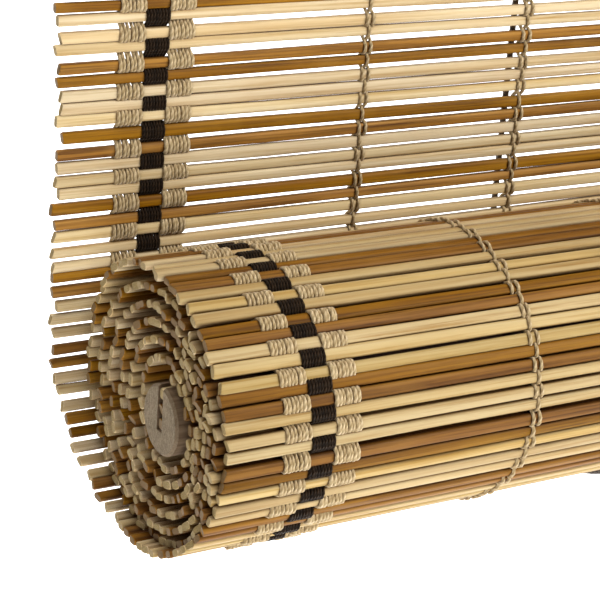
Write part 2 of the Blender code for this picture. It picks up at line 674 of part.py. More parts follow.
def make_lift_cord(side, look, lifter):
    """One lift cord, in the stretches that move differently when the blind is drawn up."""
    end = "left" if side < 0 else "right"
    plane_y = LEFT_PLANE_Y if side < 0 else RIGHT_PLANE_Y
    x = side * LIFT_CORD_X

    bm = bmesh.new()
    knot_z = -KNOT_POCKET_DEPTH + GAP + KNOT_RADIUS * 0.8
    bmesh.ops.create_uvsphere(bm, u_segments=12, v_segments=8, radius=KNOT_RADIUS,
                              matrix=Matrix.Translation((x, REAR_CORD_Y, knot_z))
                              @ Matrix.Diagonal((1, 1, 0.8, 1)))
    finish_mesh(f"cord_knot_{end}", bm, look, smooth=True)

    rear_top = -KNOT_POCKET_DEPTH - GAP
    tube(f"lift_cord_rear_{end}", [(x, REAR_CORD_Y, rear_top),
                                   (x, REAR_CORD_Y, ROLL_CENTRE_Z + GAP)], CORD_RADIUS, look)

    last = -math.pi - CORD_LEAVE_ANGLE
    loop = [loop_point(last * i / 20) for i in range(21)]
    tube(f"lift_cord_loop_{end}", [(x, y, z) for y, z in loop], CORD_RADIUS, look, parent=lifter)

    start_y, start_z = loop_point(last)
    start = Vector((x, start_y, start_z))
    top = Vector((x, plane_y, SHEAVE_Z))
    along = (top - start).normalized()
    tube(f"lift_cord_front_{end}", [start + along * 3 * GAP, top - along * GAP],
         CORD_RADIUS, look)

    over_pulley = arc((pulley_x(side), SHEAVE_Z), PITCH_RADIUS, math.pi, math.pi / 2, 8)
    over_lock = arc((LOCK_SHEAVE_X, SHEAVE_Z), PITCH_RADIUS, math.pi / 2, 0, 8)
    run = [(px, plane_y, pz) for px, pz in over_pulley + over_lock]
    tube(f"lift_cord_head_{end}", run, CORD_RADIUS, look)

    bead_y = PULL_Y + (plane_y - LOCK_MIDDLE_Y) * 0.5
    tube(f"lift_cord_tail_{end}", [(LOCK_CORD_X, plane_y, SHEAVE_Z - GAP),
                                   (LOCK_CORD_X, plane_y, LOCK_CHEEK_BOTTOM_Z),
                                   (LOCK_CORD_X, bead_y, BEAD_TOP_Z + GAP)], CORD_RADIUS, look)


def make_pull_cord(look, wood):
    """Bead that joins the two lift cords, and the pull cord with its coil, tie and tassel."""
    puller = axis_empty("pull_slide_axis", (LOCK_CORD_X, PULL_Y, BEAD_TOP_Z))
    bottom = -BEAD_HEIGHT
    profile = [(0, bottom), (BEAD_RADIUS * 0.5, bottom), (BEAD_RADIUS * 0.86, bottom * 0.78),
               (BEAD_RADIUS, bottom * 0.5), (BEAD_RADIUS * 0.86, bottom * 0.22),
               (BEAD_RADIUS * 0.6, 0), (0, 0)]
    bm = bmesh.new()
    add_turned(bm, profile, (LOCK_CORD_X, PULL_Y, BEAD_TOP_Z), "Z", steps=20)
    finish_mesh("joining_bead", bm, wood, smooth=True, parent=puller)

    coil_top = COIL_CENTRE_Z + COIL_MID_RADIUS + COIL_SECTION_RADIUS
    tube("pull_cord", [(LOCK_CORD_X, PULL_Y, BEAD_TOP_Z - BEAD_HEIGHT - GAP),
                       (LOCK_CORD_X, PULL_Y, coil_top + TIE_WALL + 3 * GAP)],
         CORD_RADIUS, look, parent=puller)

    sides = 10
    ring = [(COIL_MID_RADIUS + u, v) for u, v in arc((0, 0), COIL_SECTION_RADIUS, 0,
                                                     2 * math.pi * (1 - 1 / sides), sides - 1)]
    bm = bmesh.new()
    add_turned(bm, ring, (LOCK_CORD_X, PULL_Y, COIL_CENTRE_Z), "X", steps=20, closed_ring=True)
    finish_mesh("pull_cord_coil", bm, look, smooth=True, parent=puller)

    hole = COIL_SECTION_RADIUS + 2 * GAP
    band = [(hole, -TIE_WIDTH / 2), (hole + TIE_WALL, -TIE_WIDTH / 2),
            (hole + TIE_WALL, TIE_WIDTH / 2), (hole, TIE_WIDTH / 2)]
    bm = bmesh.new()
    add_turned(bm, band, (LOCK_CORD_X, PULL_Y, COIL_CENTRE_Z + COIL_MID_RADIUS), "Y", steps=20,
               closed_ring=True)
    finish_mesh("coil_tie", bm, look, smooth=True, parent=puller)

    lead_top = COIL_CENTRE_Z + COIL_MID_RADIUS - hole - TIE_WALL - GAP
    tube("tassel_lead", [(TASSEL_X, PULL_Y, lead_top), (TASSEL_X, PULL_Y, TASSEL_TOP_Z + GAP)],
         CORD_RADIUS, look, parent=puller)

    height = TASSEL_HEIGHT
    profile = [(0, -height), (TASSEL_RADIUS * 0.55, -height * 0.97),
               (TASSEL_RADIUS * 0.95, -height * 0.78), (TASSEL_RADIUS, -height * 0.6),
               (TASSEL_RADIUS * 0.8, -height * 0.4), (TASSEL_RADIUS * 0.5, -height * 0.22),
               (TASSEL_RADIUS * 0.56, -height * 0.1), (TASSEL_RADIUS * 0.4, 0), (0, 0)]
    bm = bmesh.new()
    add_turned(bm, profile, (TASSEL_X, PULL_Y, TASSEL_TOP_Z), "Z", steps=20)
    finish_mesh("tassel", bm, wood, smooth=True, parent=puller)


def main():
    clear_scene()
    bamboo = material("woven_bamboo", (0.62, 0.44, 0.22), 0.6)
    rolled = material("rolled_bamboo", (0.55, 0.38, 0.18), 0.6)
    pale_slat = material("pale_slat", (0.70, 0.52, 0.28), 0.55)
    pine = material("headrail_wood", (0.58, 0.42, 0.25), 0.55)
    grey_wood = material("dowel_wood", (0.36, 0.29, 0.23), 0.75)
    steel = material("zinc_plated_steel", (0.62, 0.62, 0.60), 0.35, 1.0)
    nylon = material("white_nylon", (0.80, 0.79, 0.75), 0.4)
    brass = material("brass", (0.78, 0.60, 0.28), 0.3, 1.0)
    dark_cord = material("dark_braided_cord", (0.05, 0.03, 0.02), 0.8)
    turned_wood = material("turned_wood", (0.40, 0.24, 0.11), 0.45)

    make_headrail(pine)
    make_head_spline(pine)
    curtain_top = HEAD_BOTTOM_Z + KERF_DEPTH - GAP
    make_curtain("curtain_upper", curtain_top, CURTAIN_SPLIT_Z + GAP / 2, bamboo)
    make_curtain("curtain_lower", CURTAIN_SPLIT_Z - GAP / 2, ROLL_CENTRE_Z, bamboo)

    lifter = axis_empty("roll_lift_axis", (0, ROLL_CENTRE_Y, ROLL_CENTRE_Z))
    turner = axis_empty("roll_turn_axis", (0, ROLL_CENTRE_Y, ROLL_CENTRE_Z), parent=lifter)
    make_slat_roll(rolled, turner)
    make_dowel(grey_wood, pale_slat, steel, turner)

    strap_bottom = STRAP_TOP_Z - STRAP_THICKNESS
    for side, end, plane_y in ((-1, "left", LEFT_PLANE_Y), (1, "right", RIGHT_PLANE_Y)):
        make_mounting_bracket(f"mounting_bracket_{end}", side, steel)
        screws(f"bracket_screw_{end}", bracket_screw_places(side),
               STRAP_TOP_Z - BRACKET_THICKNESS, steel)
        make_pulley_bracket(f"pulley_bracket_{end}", side, plane_y, steel)
        screws(f"pulley_screw_{end}", pulley_screw_places(side), strap_bottom, steel)
        grip = SHEAVE_WIDTH + 2 * (GAP + STRAP_THICKNESS)
        make_axle(f"pulley_axle_{end}", pulley_x(side), plane_y, grip, steel)
        make_sheave(f"pulley_sheave_{end}", pulley_x(side), plane_y, SHEAVE_WIDTH, (0,), nylon)
        make_lift_cord(side, dark_cord, lifter)
    make_cord_lock(steel, nylon, brass)
    make_pull_cord(dark_cord, turned_wood)


main()
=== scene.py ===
"""Looks of a roll-up bamboo slat blind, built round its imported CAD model.

Metres; +X along the slats to the right, -Y into the room, +Z up; the origin is the centre of the
headrail's top face. The curtain is one line in the (y, z) plane that hangs down and then winds in
to the dowel; slats and warp threads are laid out along that line.
"""

import json
import math

import bmesh
import bpy
import numpy as np
from mathutils import Matrix, Vector


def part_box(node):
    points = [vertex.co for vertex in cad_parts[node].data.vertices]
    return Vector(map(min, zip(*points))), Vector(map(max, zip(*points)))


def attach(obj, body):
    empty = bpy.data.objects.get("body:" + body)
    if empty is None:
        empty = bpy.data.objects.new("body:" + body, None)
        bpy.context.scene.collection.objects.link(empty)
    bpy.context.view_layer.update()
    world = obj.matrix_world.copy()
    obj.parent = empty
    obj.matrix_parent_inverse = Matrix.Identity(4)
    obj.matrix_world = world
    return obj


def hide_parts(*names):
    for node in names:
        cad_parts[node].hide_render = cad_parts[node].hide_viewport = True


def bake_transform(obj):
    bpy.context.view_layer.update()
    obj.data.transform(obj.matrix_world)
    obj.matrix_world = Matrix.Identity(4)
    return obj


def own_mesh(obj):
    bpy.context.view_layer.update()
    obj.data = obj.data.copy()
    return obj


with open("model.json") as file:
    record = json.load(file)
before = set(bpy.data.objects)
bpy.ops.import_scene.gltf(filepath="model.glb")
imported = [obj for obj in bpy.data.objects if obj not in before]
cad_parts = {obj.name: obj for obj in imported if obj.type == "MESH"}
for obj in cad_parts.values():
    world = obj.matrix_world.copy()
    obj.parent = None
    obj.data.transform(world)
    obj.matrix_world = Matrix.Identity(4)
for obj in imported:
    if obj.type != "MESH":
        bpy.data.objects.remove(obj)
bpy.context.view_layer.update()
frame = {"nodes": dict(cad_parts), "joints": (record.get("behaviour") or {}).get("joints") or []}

MM = 0.001
SEED = 7

# Places read from the CAD model
NODES = frame["nodes"]
JOINTS = {joint["name"]: joint for joint in frame["joints"]}
CURTAIN_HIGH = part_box("curtain_upper")[1]
HALF_WIDTH = CURTAIN_HIGH.x
CURTAIN_TOP = CURTAIN_HIGH.z
ROLL_Y, ROLL_Z = JOINTS["roll_turn"]["pos_m"][1:]
LIFT_TRAVEL = JOINTS["roll_lift"]["range_m"][1]
SPLIT_Z = ROLL_Z + LIFT_TRAVEL
DOWEL_LOW, DOWEL_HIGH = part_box("bottom_dowel")
DOWEL_Y = (DOWEL_LOW.y + DOWEL_HIGH.y) / 2
DOWEL_RADIUS = (DOWEL_HIGH.y - DOWEL_LOW.y) / 2
DOWEL_Z = DOWEL_LOW.z + DOWEL_RADIUS

# Slats: their section, how far apart their middles lie, and the order of their colours, which
# FIRST_NUMBER places at the top. Odd and even numbers lie on opposite sides of each thread.
SLAT_WIDTH = 3.78 * MM
SLAT_THICKNESS = 2.5 * MM
SLAT_CORNER = 0.85 * MM
HANGING_PITCH = 4.57 * MM
ROLLED_PITCH = 4.27 * MM
PATTERN = ("pale", "brown", "brown", "pale", "pale")
FIRST_NUMBER = 8

# How uneven the slats are: ranges are shares of a size, spreads are standard deviations
WIDTH_RANGE = (0.90, 1.05)
THICKNESS_RANGE = (0.90, 1.08)
PITCH_RANGE = (0.95, 1.05)
PLACE_SPREAD = 0.16 * MM
END_SPREAD_HANGING = 0.9 * MM
END_SPREAD_ROLLED = 0.5 * MM
BEND_SPREAD_HANGING = 0.5 * MM
BEND_SPREAD_ROLLED = 0.25 * MM
LEAN_SPREAD = math.radians(4)
DROOP_SPREAD = 0.25 * MM
DROOP_FROM = 0.8
KNOT_CHANCE = 0.05
KNOT_REACH = 0.9
KNOT_LENGTH = 4 * MM
KNOT_SWELL = 0.10
SECTION_WOBBLE = 0.04
END_SLANT = 0.18
END_TRIM = 0.86
END_TRIM_SHARE = 0.0006

# The slats in the dowel's kerf, as shares of their places, and how deep their left ends lie
PINNED_WIDTH_SHARE = 0.97
PINNED_THICKNESS_SHARE = 0.95
PINNED_END_DEPTH = 0.4 * MM

# A slat's mesh: points round its section and rings along it
SECTION_POINTS = 12
STATIONS = 22
SHARP_EDGE = math.radians(50)

# The line of the rolled curtain: it sags at first, and its radius shrinks with a slight wave.
# QUARTER_SHIFTS is how far right of the hanging slats the rolled ones lie at each quarter turn
# in; the last one holds for the rest of the roll.
ROLL_TURNS = 6.75
INNER_RADIUS = 13.4 * MM
QUARTER_SHIFTS = (0.0, 6.8 * MM, 11.3 * MM, 8.0 * MM, 9.8 * MM, 11.6 * MM, 9.4 * MM, 9.6 * MM)
SAG = 6 * MM
RADIUS_EASE = 0.94
RADIUS_WAVE = 0.35 * MM
RADIUS_WAVE_RATE = 5.3
RADIUS_WAVE_START = 0.6
LINE_SAMPLES = 4000
DIRECTION_STEP = 0.002

# Warp threads: a black and jute band near each side edge, and jute lines between the bands.
# Steps are shares of a thread's radius, and OVER_SLAT is a thread's path over one slat as
# shares of the slat's width and of the thread's reach.
BAND_CENTRE = 32.2 * MM
BLACK_THREADS = 8
BLACK_RADIUS = 0.54 * MM
JUTE_THREADS = 7
JUTE_RADIUS = 0.66 * MM
LINE_FIRST = 109.5 * MM
LINE_SPACING = 64.5 * MM
LINE_COUNT = 8
LINE_THREAD_RADIUS = 0.6 * MM
LINE_OFFSET = 1.2 * MM
BLACK_STEP = 1.86
JUTE_STEP = 1.9
JUTE_RANGE = (0.88, 1.1)
BAND_GAP = 0.1 * MM
BLACK_WANDER = 0.05 * MM
JUTE_WANDER = 0.10 * MM
LINE_WANDER = 0.18 * MM
THREADED_TURNS = 1.35
THREAD_SIDES = 6
THREAD_UNEVENNESS = 2.4 * MM
THREAD_SWELL = 0.07
THREAD_REACH = 0.9
THREAD_TAIL = 0.62
ROWS_PER_SLAT = 5
OVER_SLAT = ((-0.47, 0.62), (-0.24, 0.97), (0.24, 0.97), (0.47, 0.62))

# Cords
CORD_RADIUS = 1.1 * MM
CORD_SIDES = 12
THIN_CORD_SIDES = 8
STRAIGHT_POINTS = 160
LOCK_POINTS = 8
TAIL_POINTS = 40
SHEAVE_Z = sum(corner.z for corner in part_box("pulley_sheave_left")) / 2
SHEAVE_PITCH = 7.1 * MM
SHEAVE_STEPS = 16
LOCK_X = sum(corner.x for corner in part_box("lock_guide_sheave")) / 2
LOCK_BOTTOM_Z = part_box("cord_lock_housing")[0].z
LOOP_SWEEP = math.radians(195)
LOOP_STEPS = 60
LOOP_RADIUS_FRONT = 48.5 * MM
KNOT_STEPS = 96
KNOT_HEIGHT = 1.5

# The pull cord's hank: turns in each row of its section, and how the cord leads in and out
HANK_ROWS = (3, 4, 5, 4, 3)
HANK_STEP = 2 * CORD_RADIUS * 1.02
HANK_ROW_STEP = 0.87
TURN_STEPS = 40
CROSSING_FROM = 0.7
HANK_FLATNESS = 0.97
LEAD_IN_STEPS = 9
LEAD_OUT_STEPS = 8
LEAD_IN_BOW = 1.5 * MM
LEAD_CLEARANCE = 0.3 * MM
LEAD_OUT_RISE = 6 * MM
LEAD_INSERT = 0.5 * MM
LEAD_POINTS = 14
HANK_SAG = 0.025
TIE_TURNS = 5
TIE_STEPS = 36
TIE_RADIUS = CORD_RADIUS * 0.72
TIE_DEPTH = CORD_RADIUS * 0.62
TIE_MARGIN = CORD_RADIUS * 0.7

# Slats grow darker in the gaps between them, where the light doesn't reach
CREVICE_SHADE_DEPTH = 8 * MM

# The room: a white sweep whose glow fades to the left, and area lights in watts
FLOOR_Z = -1.0
WALL_Y = 2.2
SWEEP_RADIUS = 0.8
SWEEP_STEPS = 12
ROOM_REACH = 14.0
WALL_TOP = 12.0
GLOW_LEFT = 0.3
GLOW_FADE = (-2.0, -0.1)
LIGHTS_AIM = Vector((0, 0, -0.35))
WORLD_LIGHT = 0.17
BACKDROP_GLOW = 1.0
KEY_LIGHT = 114
FILL_LIGHT = 3
TOP_LIGHT = 56

# Camera: a long lens, where it stands, where it looks and how the picture lies
FOCAL_LENGTH = 119.3
CAMERA_PLACE = Vector((-0.5904, -0.5394, -0.2426))
CAMERA_FORWARD = Vector((0.4910, 0.7986, -0.3480))
CAMERA_RIGHT = Vector((0.8627, -0.5011, 0.0673))
SENSOR_WIDTH = 36


def make_camera():
    """A long lens from the front left and above, aimed so that the roll's end sits lower left."""
    forward = CAMERA_FORWARD.normalized()
    right = (CAMERA_RIGHT - forward * CAMERA_RIGHT.dot(forward)).normalized()
    up = right.cross(forward)
    data = bpy.data.cameras.new("camera")
    data.lens = FOCAL_LENGTH
    data.sensor_width = SENSOR_WIDTH
    data.clip_start = 0.01
    data.clip_end = 50
    camera = bpy.data.objects.new("camera", data)
    bpy.context.scene.collection.objects.link(camera)
    rotation = Matrix((right, up, -forward)).transposed()
    camera.matrix_world = Matrix.Translation(CAMERA_PLACE) @ rotation.to_4x4()
    bpy.context.scene.camera = camera


def add_object(name, mesh, look):
    mesh.materials.append(look)
    obj = bpy.data.objects.new(name, mesh)
    bpy.context.scene.collection.objects.link(obj)
    return obj


# Materials --------------------------------------------------------------------------------------

class Graph:
    """A short way to write a node material."""

    def __init__(self, name):
        self.material = bpy.data.materials.new(name)
        self.material.use_nodes = True
        self.tree = self.material.node_tree
        self.shader = self.tree.nodes["Principled BSDF"]

    def node(self, kind, values=(), **settings):
        made = self.tree.nodes.new("ShaderNode" + kind)
        for key, value in settings.items():
            setattr(made, key, value)
        for key, value in dict(values).items():
            self.feed(made.inputs[key], value)
        return made

    def feed(self, socket, value):
        if isinstance(value, bpy.types.NodeSocket):
            self.tree.links.new(value, socket)
        else:
            socket.default_value = value

    def attribute(self, name):
        return self.node("Attribute", attribute_name=name).outputs["Fac"]

    def position(self):
        return self.node("NewGeometry").outputs["Position"]

    def object_space(self):
        return self.node("TexCoord").outputs["Object"]

    def math(self, operation, *values, clamp=False):
        made = self.node("Math", operation=operation, use_clamp=clamp)
        for socket, value in zip(made.inputs, values):
            self.feed(socket, value)
        return made.outputs[0]

    def scaled(self, vector, scale, offset=None):
        made = self.node("Mapping", {"Vector": vector, "Scale": scale})
        if offset is not None:
            self.feed(made.inputs["Location"], offset)
        return made.outputs[0]

    def noise(self, vector, scale, detail=4, roughness=0.6):
        made = self.node("TexNoise", {"Vector": vector, "Scale": scale, "Detail": detail,
                                      "Roughness": roughness})
        return made.outputs["Fac"]

    def mix(self, factor, a, b, blend="MIX"):
        made = self.node("Mix", data_type="RGBA", blend_type=blend)
        self.feed(made.inputs["Factor"], factor)
        self.feed(made.inputs["A"], a if isinstance(a, bpy.types.NodeSocket) else (*a, 1))
        self.feed(made.inputs["B"], b if isinstance(b, bpy.types.NodeSocket) else (*b, 1))
        return made.outputs["Result"]

    def ramp(self, factor, stops):
        made = self.node("ValToRGB", {"Fac": factor})
        ramp = made.color_ramp
        while len(ramp.elements) < len(stops):
            ramp.elements.new(0.5)
        for element, (place, colour) in zip(ramp.elements, stops):
            element.position = place
            element.color = (*colour, 1)
        return made.outputs["Color"]

    def level(self, factor, low, high):
        """0 below low, 1 above high, and straight between."""
        made = self.node("MapRange", {"Value": factor, "From Min": low, "From Max": high})
        made.clamp = True
        return made.outputs[0]

    def bump(self, height, distance, strength=1.0):
        made = self.node("Bump", {"Height": height, "Distance": distance, "Strength": strength})
        self.feed(self.shader.inputs["Normal"], made.outputs[0])

    def set(self, **values):
        names = {"colour": "Base Color", "roughness": "Roughness", "metallic": "Metallic",
                 "sheen": "Sheen Weight", "sheen_roughness": "Sheen Roughness",
                 "specular": "Specular IOR Level", "coat": "Coat Weight",
                 "coat_roughness": "Coat Roughness"}
        for key, value in values.items():
            if isinstance(value, tuple):
                value = (*value, 1)
            self.feed(self.shader.inputs[names[key]], value)
        return self.material


def slat_material():
    """Split bamboo: long fibres along the slat, tinted slat by slat, with porous sawn ends. Painted
    shade darkens the ends, the outer side and the gaps between slats.
    """
    g = Graph("split_bamboo")
    place = g.object_space()
    seed = g.attribute("seed")
    brown = g.attribute("brown")
    tint = g.attribute("tint")
    shift = g.node("CombineXYZ", {"X": g.math("MULTIPLY", seed, 3.7),
                                  "Y": g.math("MULTIPLY", seed, 1.9),
                                  "Z": seed}).outputs[0]
    along = g.scaled(place, (14, 760, 760), shift)
    wide = g.scaled(place, (5, 260, 260), shift)
    streaks = g.noise(along, 1.0, 5, 0.65)
    bands = g.noise(wide, 1.0, 3, 0.55)
    blotch = g.noise(g.scaled(place, (38, 60, 60), shift), 1.0, 3, 0.5)

    pale = g.ramp(bands, [(0.30, (0.64, 0.46, 0.23)), (0.5, (0.735, 0.575, 0.34)),
                          (0.72, (0.80, 0.665, 0.44))])
    dark = g.ramp(bands, [(0.28, (0.23, 0.095, 0.014)), (0.5, (0.35, 0.162, 0.026)),
                          (0.72, (0.47, 0.245, 0.052))])
    pale = g.mix(g.level(streaks, 0.46, 0.74), pale, (0.47, 0.29, 0.11))
    pale = g.mix(g.math("MULTIPLY", g.level(blotch, 0.55, 0.8), 0.3), pale, (0.64, 0.42, 0.20))
    # Painted shade: each slat's outer side, which faces out on the roll's front, is painted darker
    # in both colours
    pale = g.mix(g.attribute("outer"), pale, g.mix(1.0, pale, (0.70, 0.66, 0.55), "MULTIPLY"))
    dark = g.mix(g.level(streaks, 0.46, 0.72), dark, (0.10, 0.038, 0.008))
    dark = g.mix(g.math("MULTIPLY", g.level(blotch, 0.5, 0.8), 0.4), dark, (0.44, 0.24, 0.06))
    dark = g.mix(g.attribute("outer"), dark, g.mix(1.0, dark, (0.66, 0.62, 0.46), "MULTIPLY"))
    colour = g.mix(brown, pale, dark)
    shade = g.node("HueSaturation", {"Color": colour,
                                     "Hue": g.math("MULTIPLY_ADD", tint, 0.006, 0.497),
                                     "Saturation": g.math("MULTIPLY_ADD", tint, 0.12, 0.99),
                                     "Value": g.math("MULTIPLY_ADD", seed, 0.20, 0.88)})
    colour = shade.outputs[0]

    knot = g.attribute("knot")
    rings = g.node("TexWave", {"Vector": g.scaled(place, (500, 900, 900)), "Scale": 1.0,
                               "Distortion": 6.0, "Detail": 2.0}).outputs["Fac"]
    knot_colour = g.mix(rings, (0.40, 0.20, 0.07), (0.72, 0.48, 0.24))
    colour = g.mix(knot, colour, knot_colour)

    # The sawn ends: porous end grain, darker than the faces, and painted darker still as shade on
    # the roll's end
    end = g.attribute("end")
    pores = g.node("TexVoronoi", {"Vector": place, "Scale": 3400.0}).outputs["Distance"]
    pore = g.level(pores, 0.15, 0.5)
    end_pale = g.mix(pore, (0.17, 0.105, 0.035), (0.37, 0.265, 0.105))
    end_dark = g.mix(pore, (0.08, 0.038, 0.011), (0.19, 0.105, 0.034))
    end_colour = g.mix(brown, end_pale, end_dark)
    end_colour = g.mix(g.math("MULTIPLY", g.noise(place, 700, 3), 0.6), end_colour,
                       (0.15, 0.10, 0.04))
    colour = g.mix(end, colour, end_colour)
    # Painted shade: the colour turns deep brown in the gaps between slats, wherever the AO node
    # finds other slats close by
    crevice_shade = g.node("AmbientOcclusion", {"Distance": CREVICE_SHADE_DEPTH}, samples=6).outputs["AO"]
    colour = g.mix(g.level(crevice_shade, 0.15, 0.86), g.mix(1.0, colour, (0.17, 0.10, 0.04), "MULTIPLY"),
                   colour)
    rough = g.math("ADD", 0.42, g.math("MULTIPLY", streaks, 0.28))
    g.bump(g.math("ADD", streaks, g.math("MULTIPLY", bands, 0.8)), 0.00022, 0.75)
    return g.set(colour=colour, roughness=rough, specular=0.18)


def yarn_material(name, low, high, fuzz, twist, rough, sheen):
    """Twisted yarn: plies slant round the thread, with loose fibres and uneven colour; the plies
    carry a painted highlight on their crowns and painted shade between them.
    """
    g = Graph(name)
    along = g.attribute("along")
    around = g.attribute("around")
    seed = g.attribute("seed")
    plies = g.math("SINE", g.math("MULTIPLY", g.math("ADD", g.math("MULTIPLY", along, twist),
                                                     g.math("MULTIPLY", around, 2.0)),
                                  2 * math.pi))
    place = g.object_space()
    fibres = g.noise(g.scaled(place, (2600, 2600, 900)), 1.0, 4, 0.7)
    patches = g.noise(g.scaled(place, (260, 260, 120)), 1.0, 3, 0.6)
    # Painted highlight and shade: the colour is lighter on the plies' crowns and darker between
    # them
    light = g.math("MULTIPLY_ADD", plies, 0.22, g.math("MULTIPLY_ADD", fibres, 0.9, -0.02))
    light = g.math("ADD", light, g.math("MULTIPLY_ADD", seed, 0.3, -0.15))
    colour = g.ramp(light, [(0.1, low), (0.55, tuple((a + b) / 2 for a, b in zip(low, high))),
                            (0.95, high)])
    colour = g.mix(g.math("MULTIPLY", g.level(patches, 0.5, 0.75), 0.4), colour, fuzz)
    g.bump(g.math("ADD", g.math("MULTIPLY", plies, 0.5), fibres), 0.0002, 0.9)
    return g.set(colour=colour, roughness=rough, sheen=sheen, sheen_roughness=0.5, specular=0.1)


def cord_material():
    """Braided polyester cord: two crossing sets of yarns, dark brown, with painted highlights on
    the yarns' crowns.
    """
    g = Graph("braided_cord")
    along = g.attribute("along")
    around = g.attribute("around")
    turn = g.math("MULTIPLY", around, 4.0)
    run = g.math("MULTIPLY", along, 420.0)
    one = g.math("SINE", g.math("MULTIPLY", g.math("ADD", run, turn), 2 * math.pi))
    two = g.math("SINE", g.math("MULTIPLY", g.math("SUBTRACT", run, turn), 2 * math.pi))
    braid = g.math("MAXIMUM", one, two)
    grain = g.noise(g.object_space(), 3500, 3, 0.7)
    # Painted highlight: the colour is lighter on the crowns of the braid's yarns
    light = g.math("MULTIPLY_ADD", braid, 0.35, g.math("MULTIPLY", grain, 0.6))
    colour = g.ramp(light, [(0.1, (0.012, 0.007, 0.004)), (0.5, (0.045, 0.028, 0.016)),
                            (0.9, (0.115, 0.078, 0.048))])
    g.bump(g.math("ADD", braid, g.math("MULTIPLY", grain, 0.4)), 0.00018, 0.9)
    return g.set(colour=colour, roughness=0.72, sheen=0.3, sheen_roughness=0.4)


def board_material(name, low, high, line, axis_scale, rough, coat=0.0):
    """Planed or turned softwood: stretched rings and fine pores along the grain."""
    g = Graph(name)
    place = g.object_space()
    warp = g.noise(g.scaled(place, tuple(s * 0.35 for s in axis_scale)), 1.0, 3)
    rings = g.node("TexWave", {"Vector": g.scaled(place, axis_scale), "Scale": 1.1,
                               "Distortion": 5.0, "Detail": 3.0, "Detail Scale": 1.4},
                   bands_direction="Z").outputs["Fac"]
    fine = g.noise(g.scaled(place, tuple(s * 9 for s in axis_scale)), 1.0, 5, 0.7)
    colour = g.mix(rings, low, high)
    colour = g.mix(g.level(fine, 0.55, 0.8), colour, line)
    colour = g.mix(g.math("MULTIPLY", g.level(warp, 0.45, 0.75), 0.35), colour, low)
    g.bump(g.math("ADD", rings, fine), 0.0002, 0.5)
    return g.set(colour=colour, roughness=rough, coat=coat, coat_roughness=0.35)


def dowel_material():
    """Raw greyed wood: sawn end grain in dark fibres, brown weathered sides, all painted darker as
    well for the shade on the roll's end.
    """
    g = Graph("weathered_dowel")
    place = g.object_space()
    normal = g.node("NewGeometry").outputs["True Normal"]
    facing = g.math("ABSOLUTE", g.node("SeparateXYZ", {"Vector": normal}).outputs["X"])
    end = g.level(facing, 0.6, 0.8)
    lines = g.noise(g.scaled(place, (200, 1700, 620)), 1.0, 5, 0.75)
    specks = g.noise(place, 2600, 4, 0.7)
    patch = g.noise(place, 330, 3, 0.55)
    # The end grain's dark fibres, painted darker still as shade on the roll's end
    end_colour = g.ramp(g.math("MULTIPLY_ADD", lines, 0.55, g.math("MULTIPLY", specks, 0.5)),
                        [(0.36, (0.05, 0.032, 0.017)), (0.5, (0.17, 0.125, 0.072)),
                         (0.64, (0.29, 0.225, 0.145))])
    end_colour = g.mix(g.math("MULTIPLY", g.level(patch, 0.5, 0.72), 0.5), end_colour,
                       (0.22, 0.15, 0.095))
    along = g.noise(g.scaled(place, (14, 800, 800)), 1.0, 5, 0.65)
    side = g.ramp(along, [(0.3, (0.10, 0.062, 0.034)), (0.55, (0.19, 0.125, 0.072)),
                          (0.8, (0.27, 0.19, 0.12))])
    colour = g.mix(end, side, end_colour)
    g.bump(g.mix(end, along, lines), 0.0003, 0.8)
    return g.set(colour=colour, roughness=0.82, specular=0.25)


def metal_material(name, colour, dark, rough):
    """Plated or turned metal with fine scratches and duller patches."""
    g = Graph(name)
    place = g.object_space()
    scratches = g.noise(g.scaled(place, (260, 2400, 2400)), 1.0, 4, 0.7)
    patches = g.noise(place, 240, 3, 0.55)
    tone = g.mix(g.level(patches, 0.35, 0.75), colour, dark)
    tone = g.mix(g.math("MULTIPLY", g.level(scratches, 0.55, 0.8), 0.3), tone, dark)
    roughness = g.math("MULTIPLY_ADD", patches, 0.25, rough)
    g.bump(scratches, 0.00008, 0.5)
    return g.set(colour=tone, roughness=roughness, metallic=1.0)


def nylon_material():
    """Off-white moulded plastic, slightly cloudy."""
    g = Graph("moulded_nylon")
    place = g.object_space()
    haze = g.noise(place, 420, 3, 0.5)
    colour = g.mix(haze, (0.78, 0.76, 0.70), (0.64, 0.60, 0.52))
    g.bump(g.noise(place, 2400, 3), 0.00006, 0.5)
    return g.set(colour=colour, roughness=g.math("MULTIPLY_ADD", haze, 0.2, 0.32))


# The curtain's line ------------------------------------------------------------------------------

def rolled_point(turned):
    """(y, z) of the curtain's middle after `turned` turns in from where it meets the roll.

    The outer turn starts in the curtain's plane; the inner turns are concentric with the dowel,
    so the roll is slack at the back and tight at the front.
    """
    share = turned / ROLL_TURNS
    outer = -ROLL_Y
    radius = outer + (INNER_RADIUS - outer) * share ** RADIUS_EASE
    wave = math.sin(RADIUS_WAVE_RATE * turned + RADIUS_WAVE_START)
    radius += RADIUS_WAVE * wave * math.sin(math.pi * share)
    angle = -2 * math.pi * turned
    y = ROLL_Y + (DOWEL_Y - ROLL_Y) * share + radius * math.cos(angle)
    sag = SAG * (1 - math.exp(-turned)) * (1 - share)
    z = ROLL_Z - sag + (DOWEL_Z - ROLL_Z) * share + radius * math.sin(angle)
    return np.array((y, z))


def roll_shift(turned):
    """How far to the right the roll's slats lie of the hanging ones."""
    quarter = min(turned * 4, len(QUARTER_SHIFTS) - 1)
    before = min(int(quarter), len(QUARTER_SHIFTS) - 2)
    share = (1 - math.cos(math.pi * (quarter - before))) / 2
    return QUARTER_SHIFTS[before] * (1 - share) + QUARTER_SHIFTS[before + 1] * share


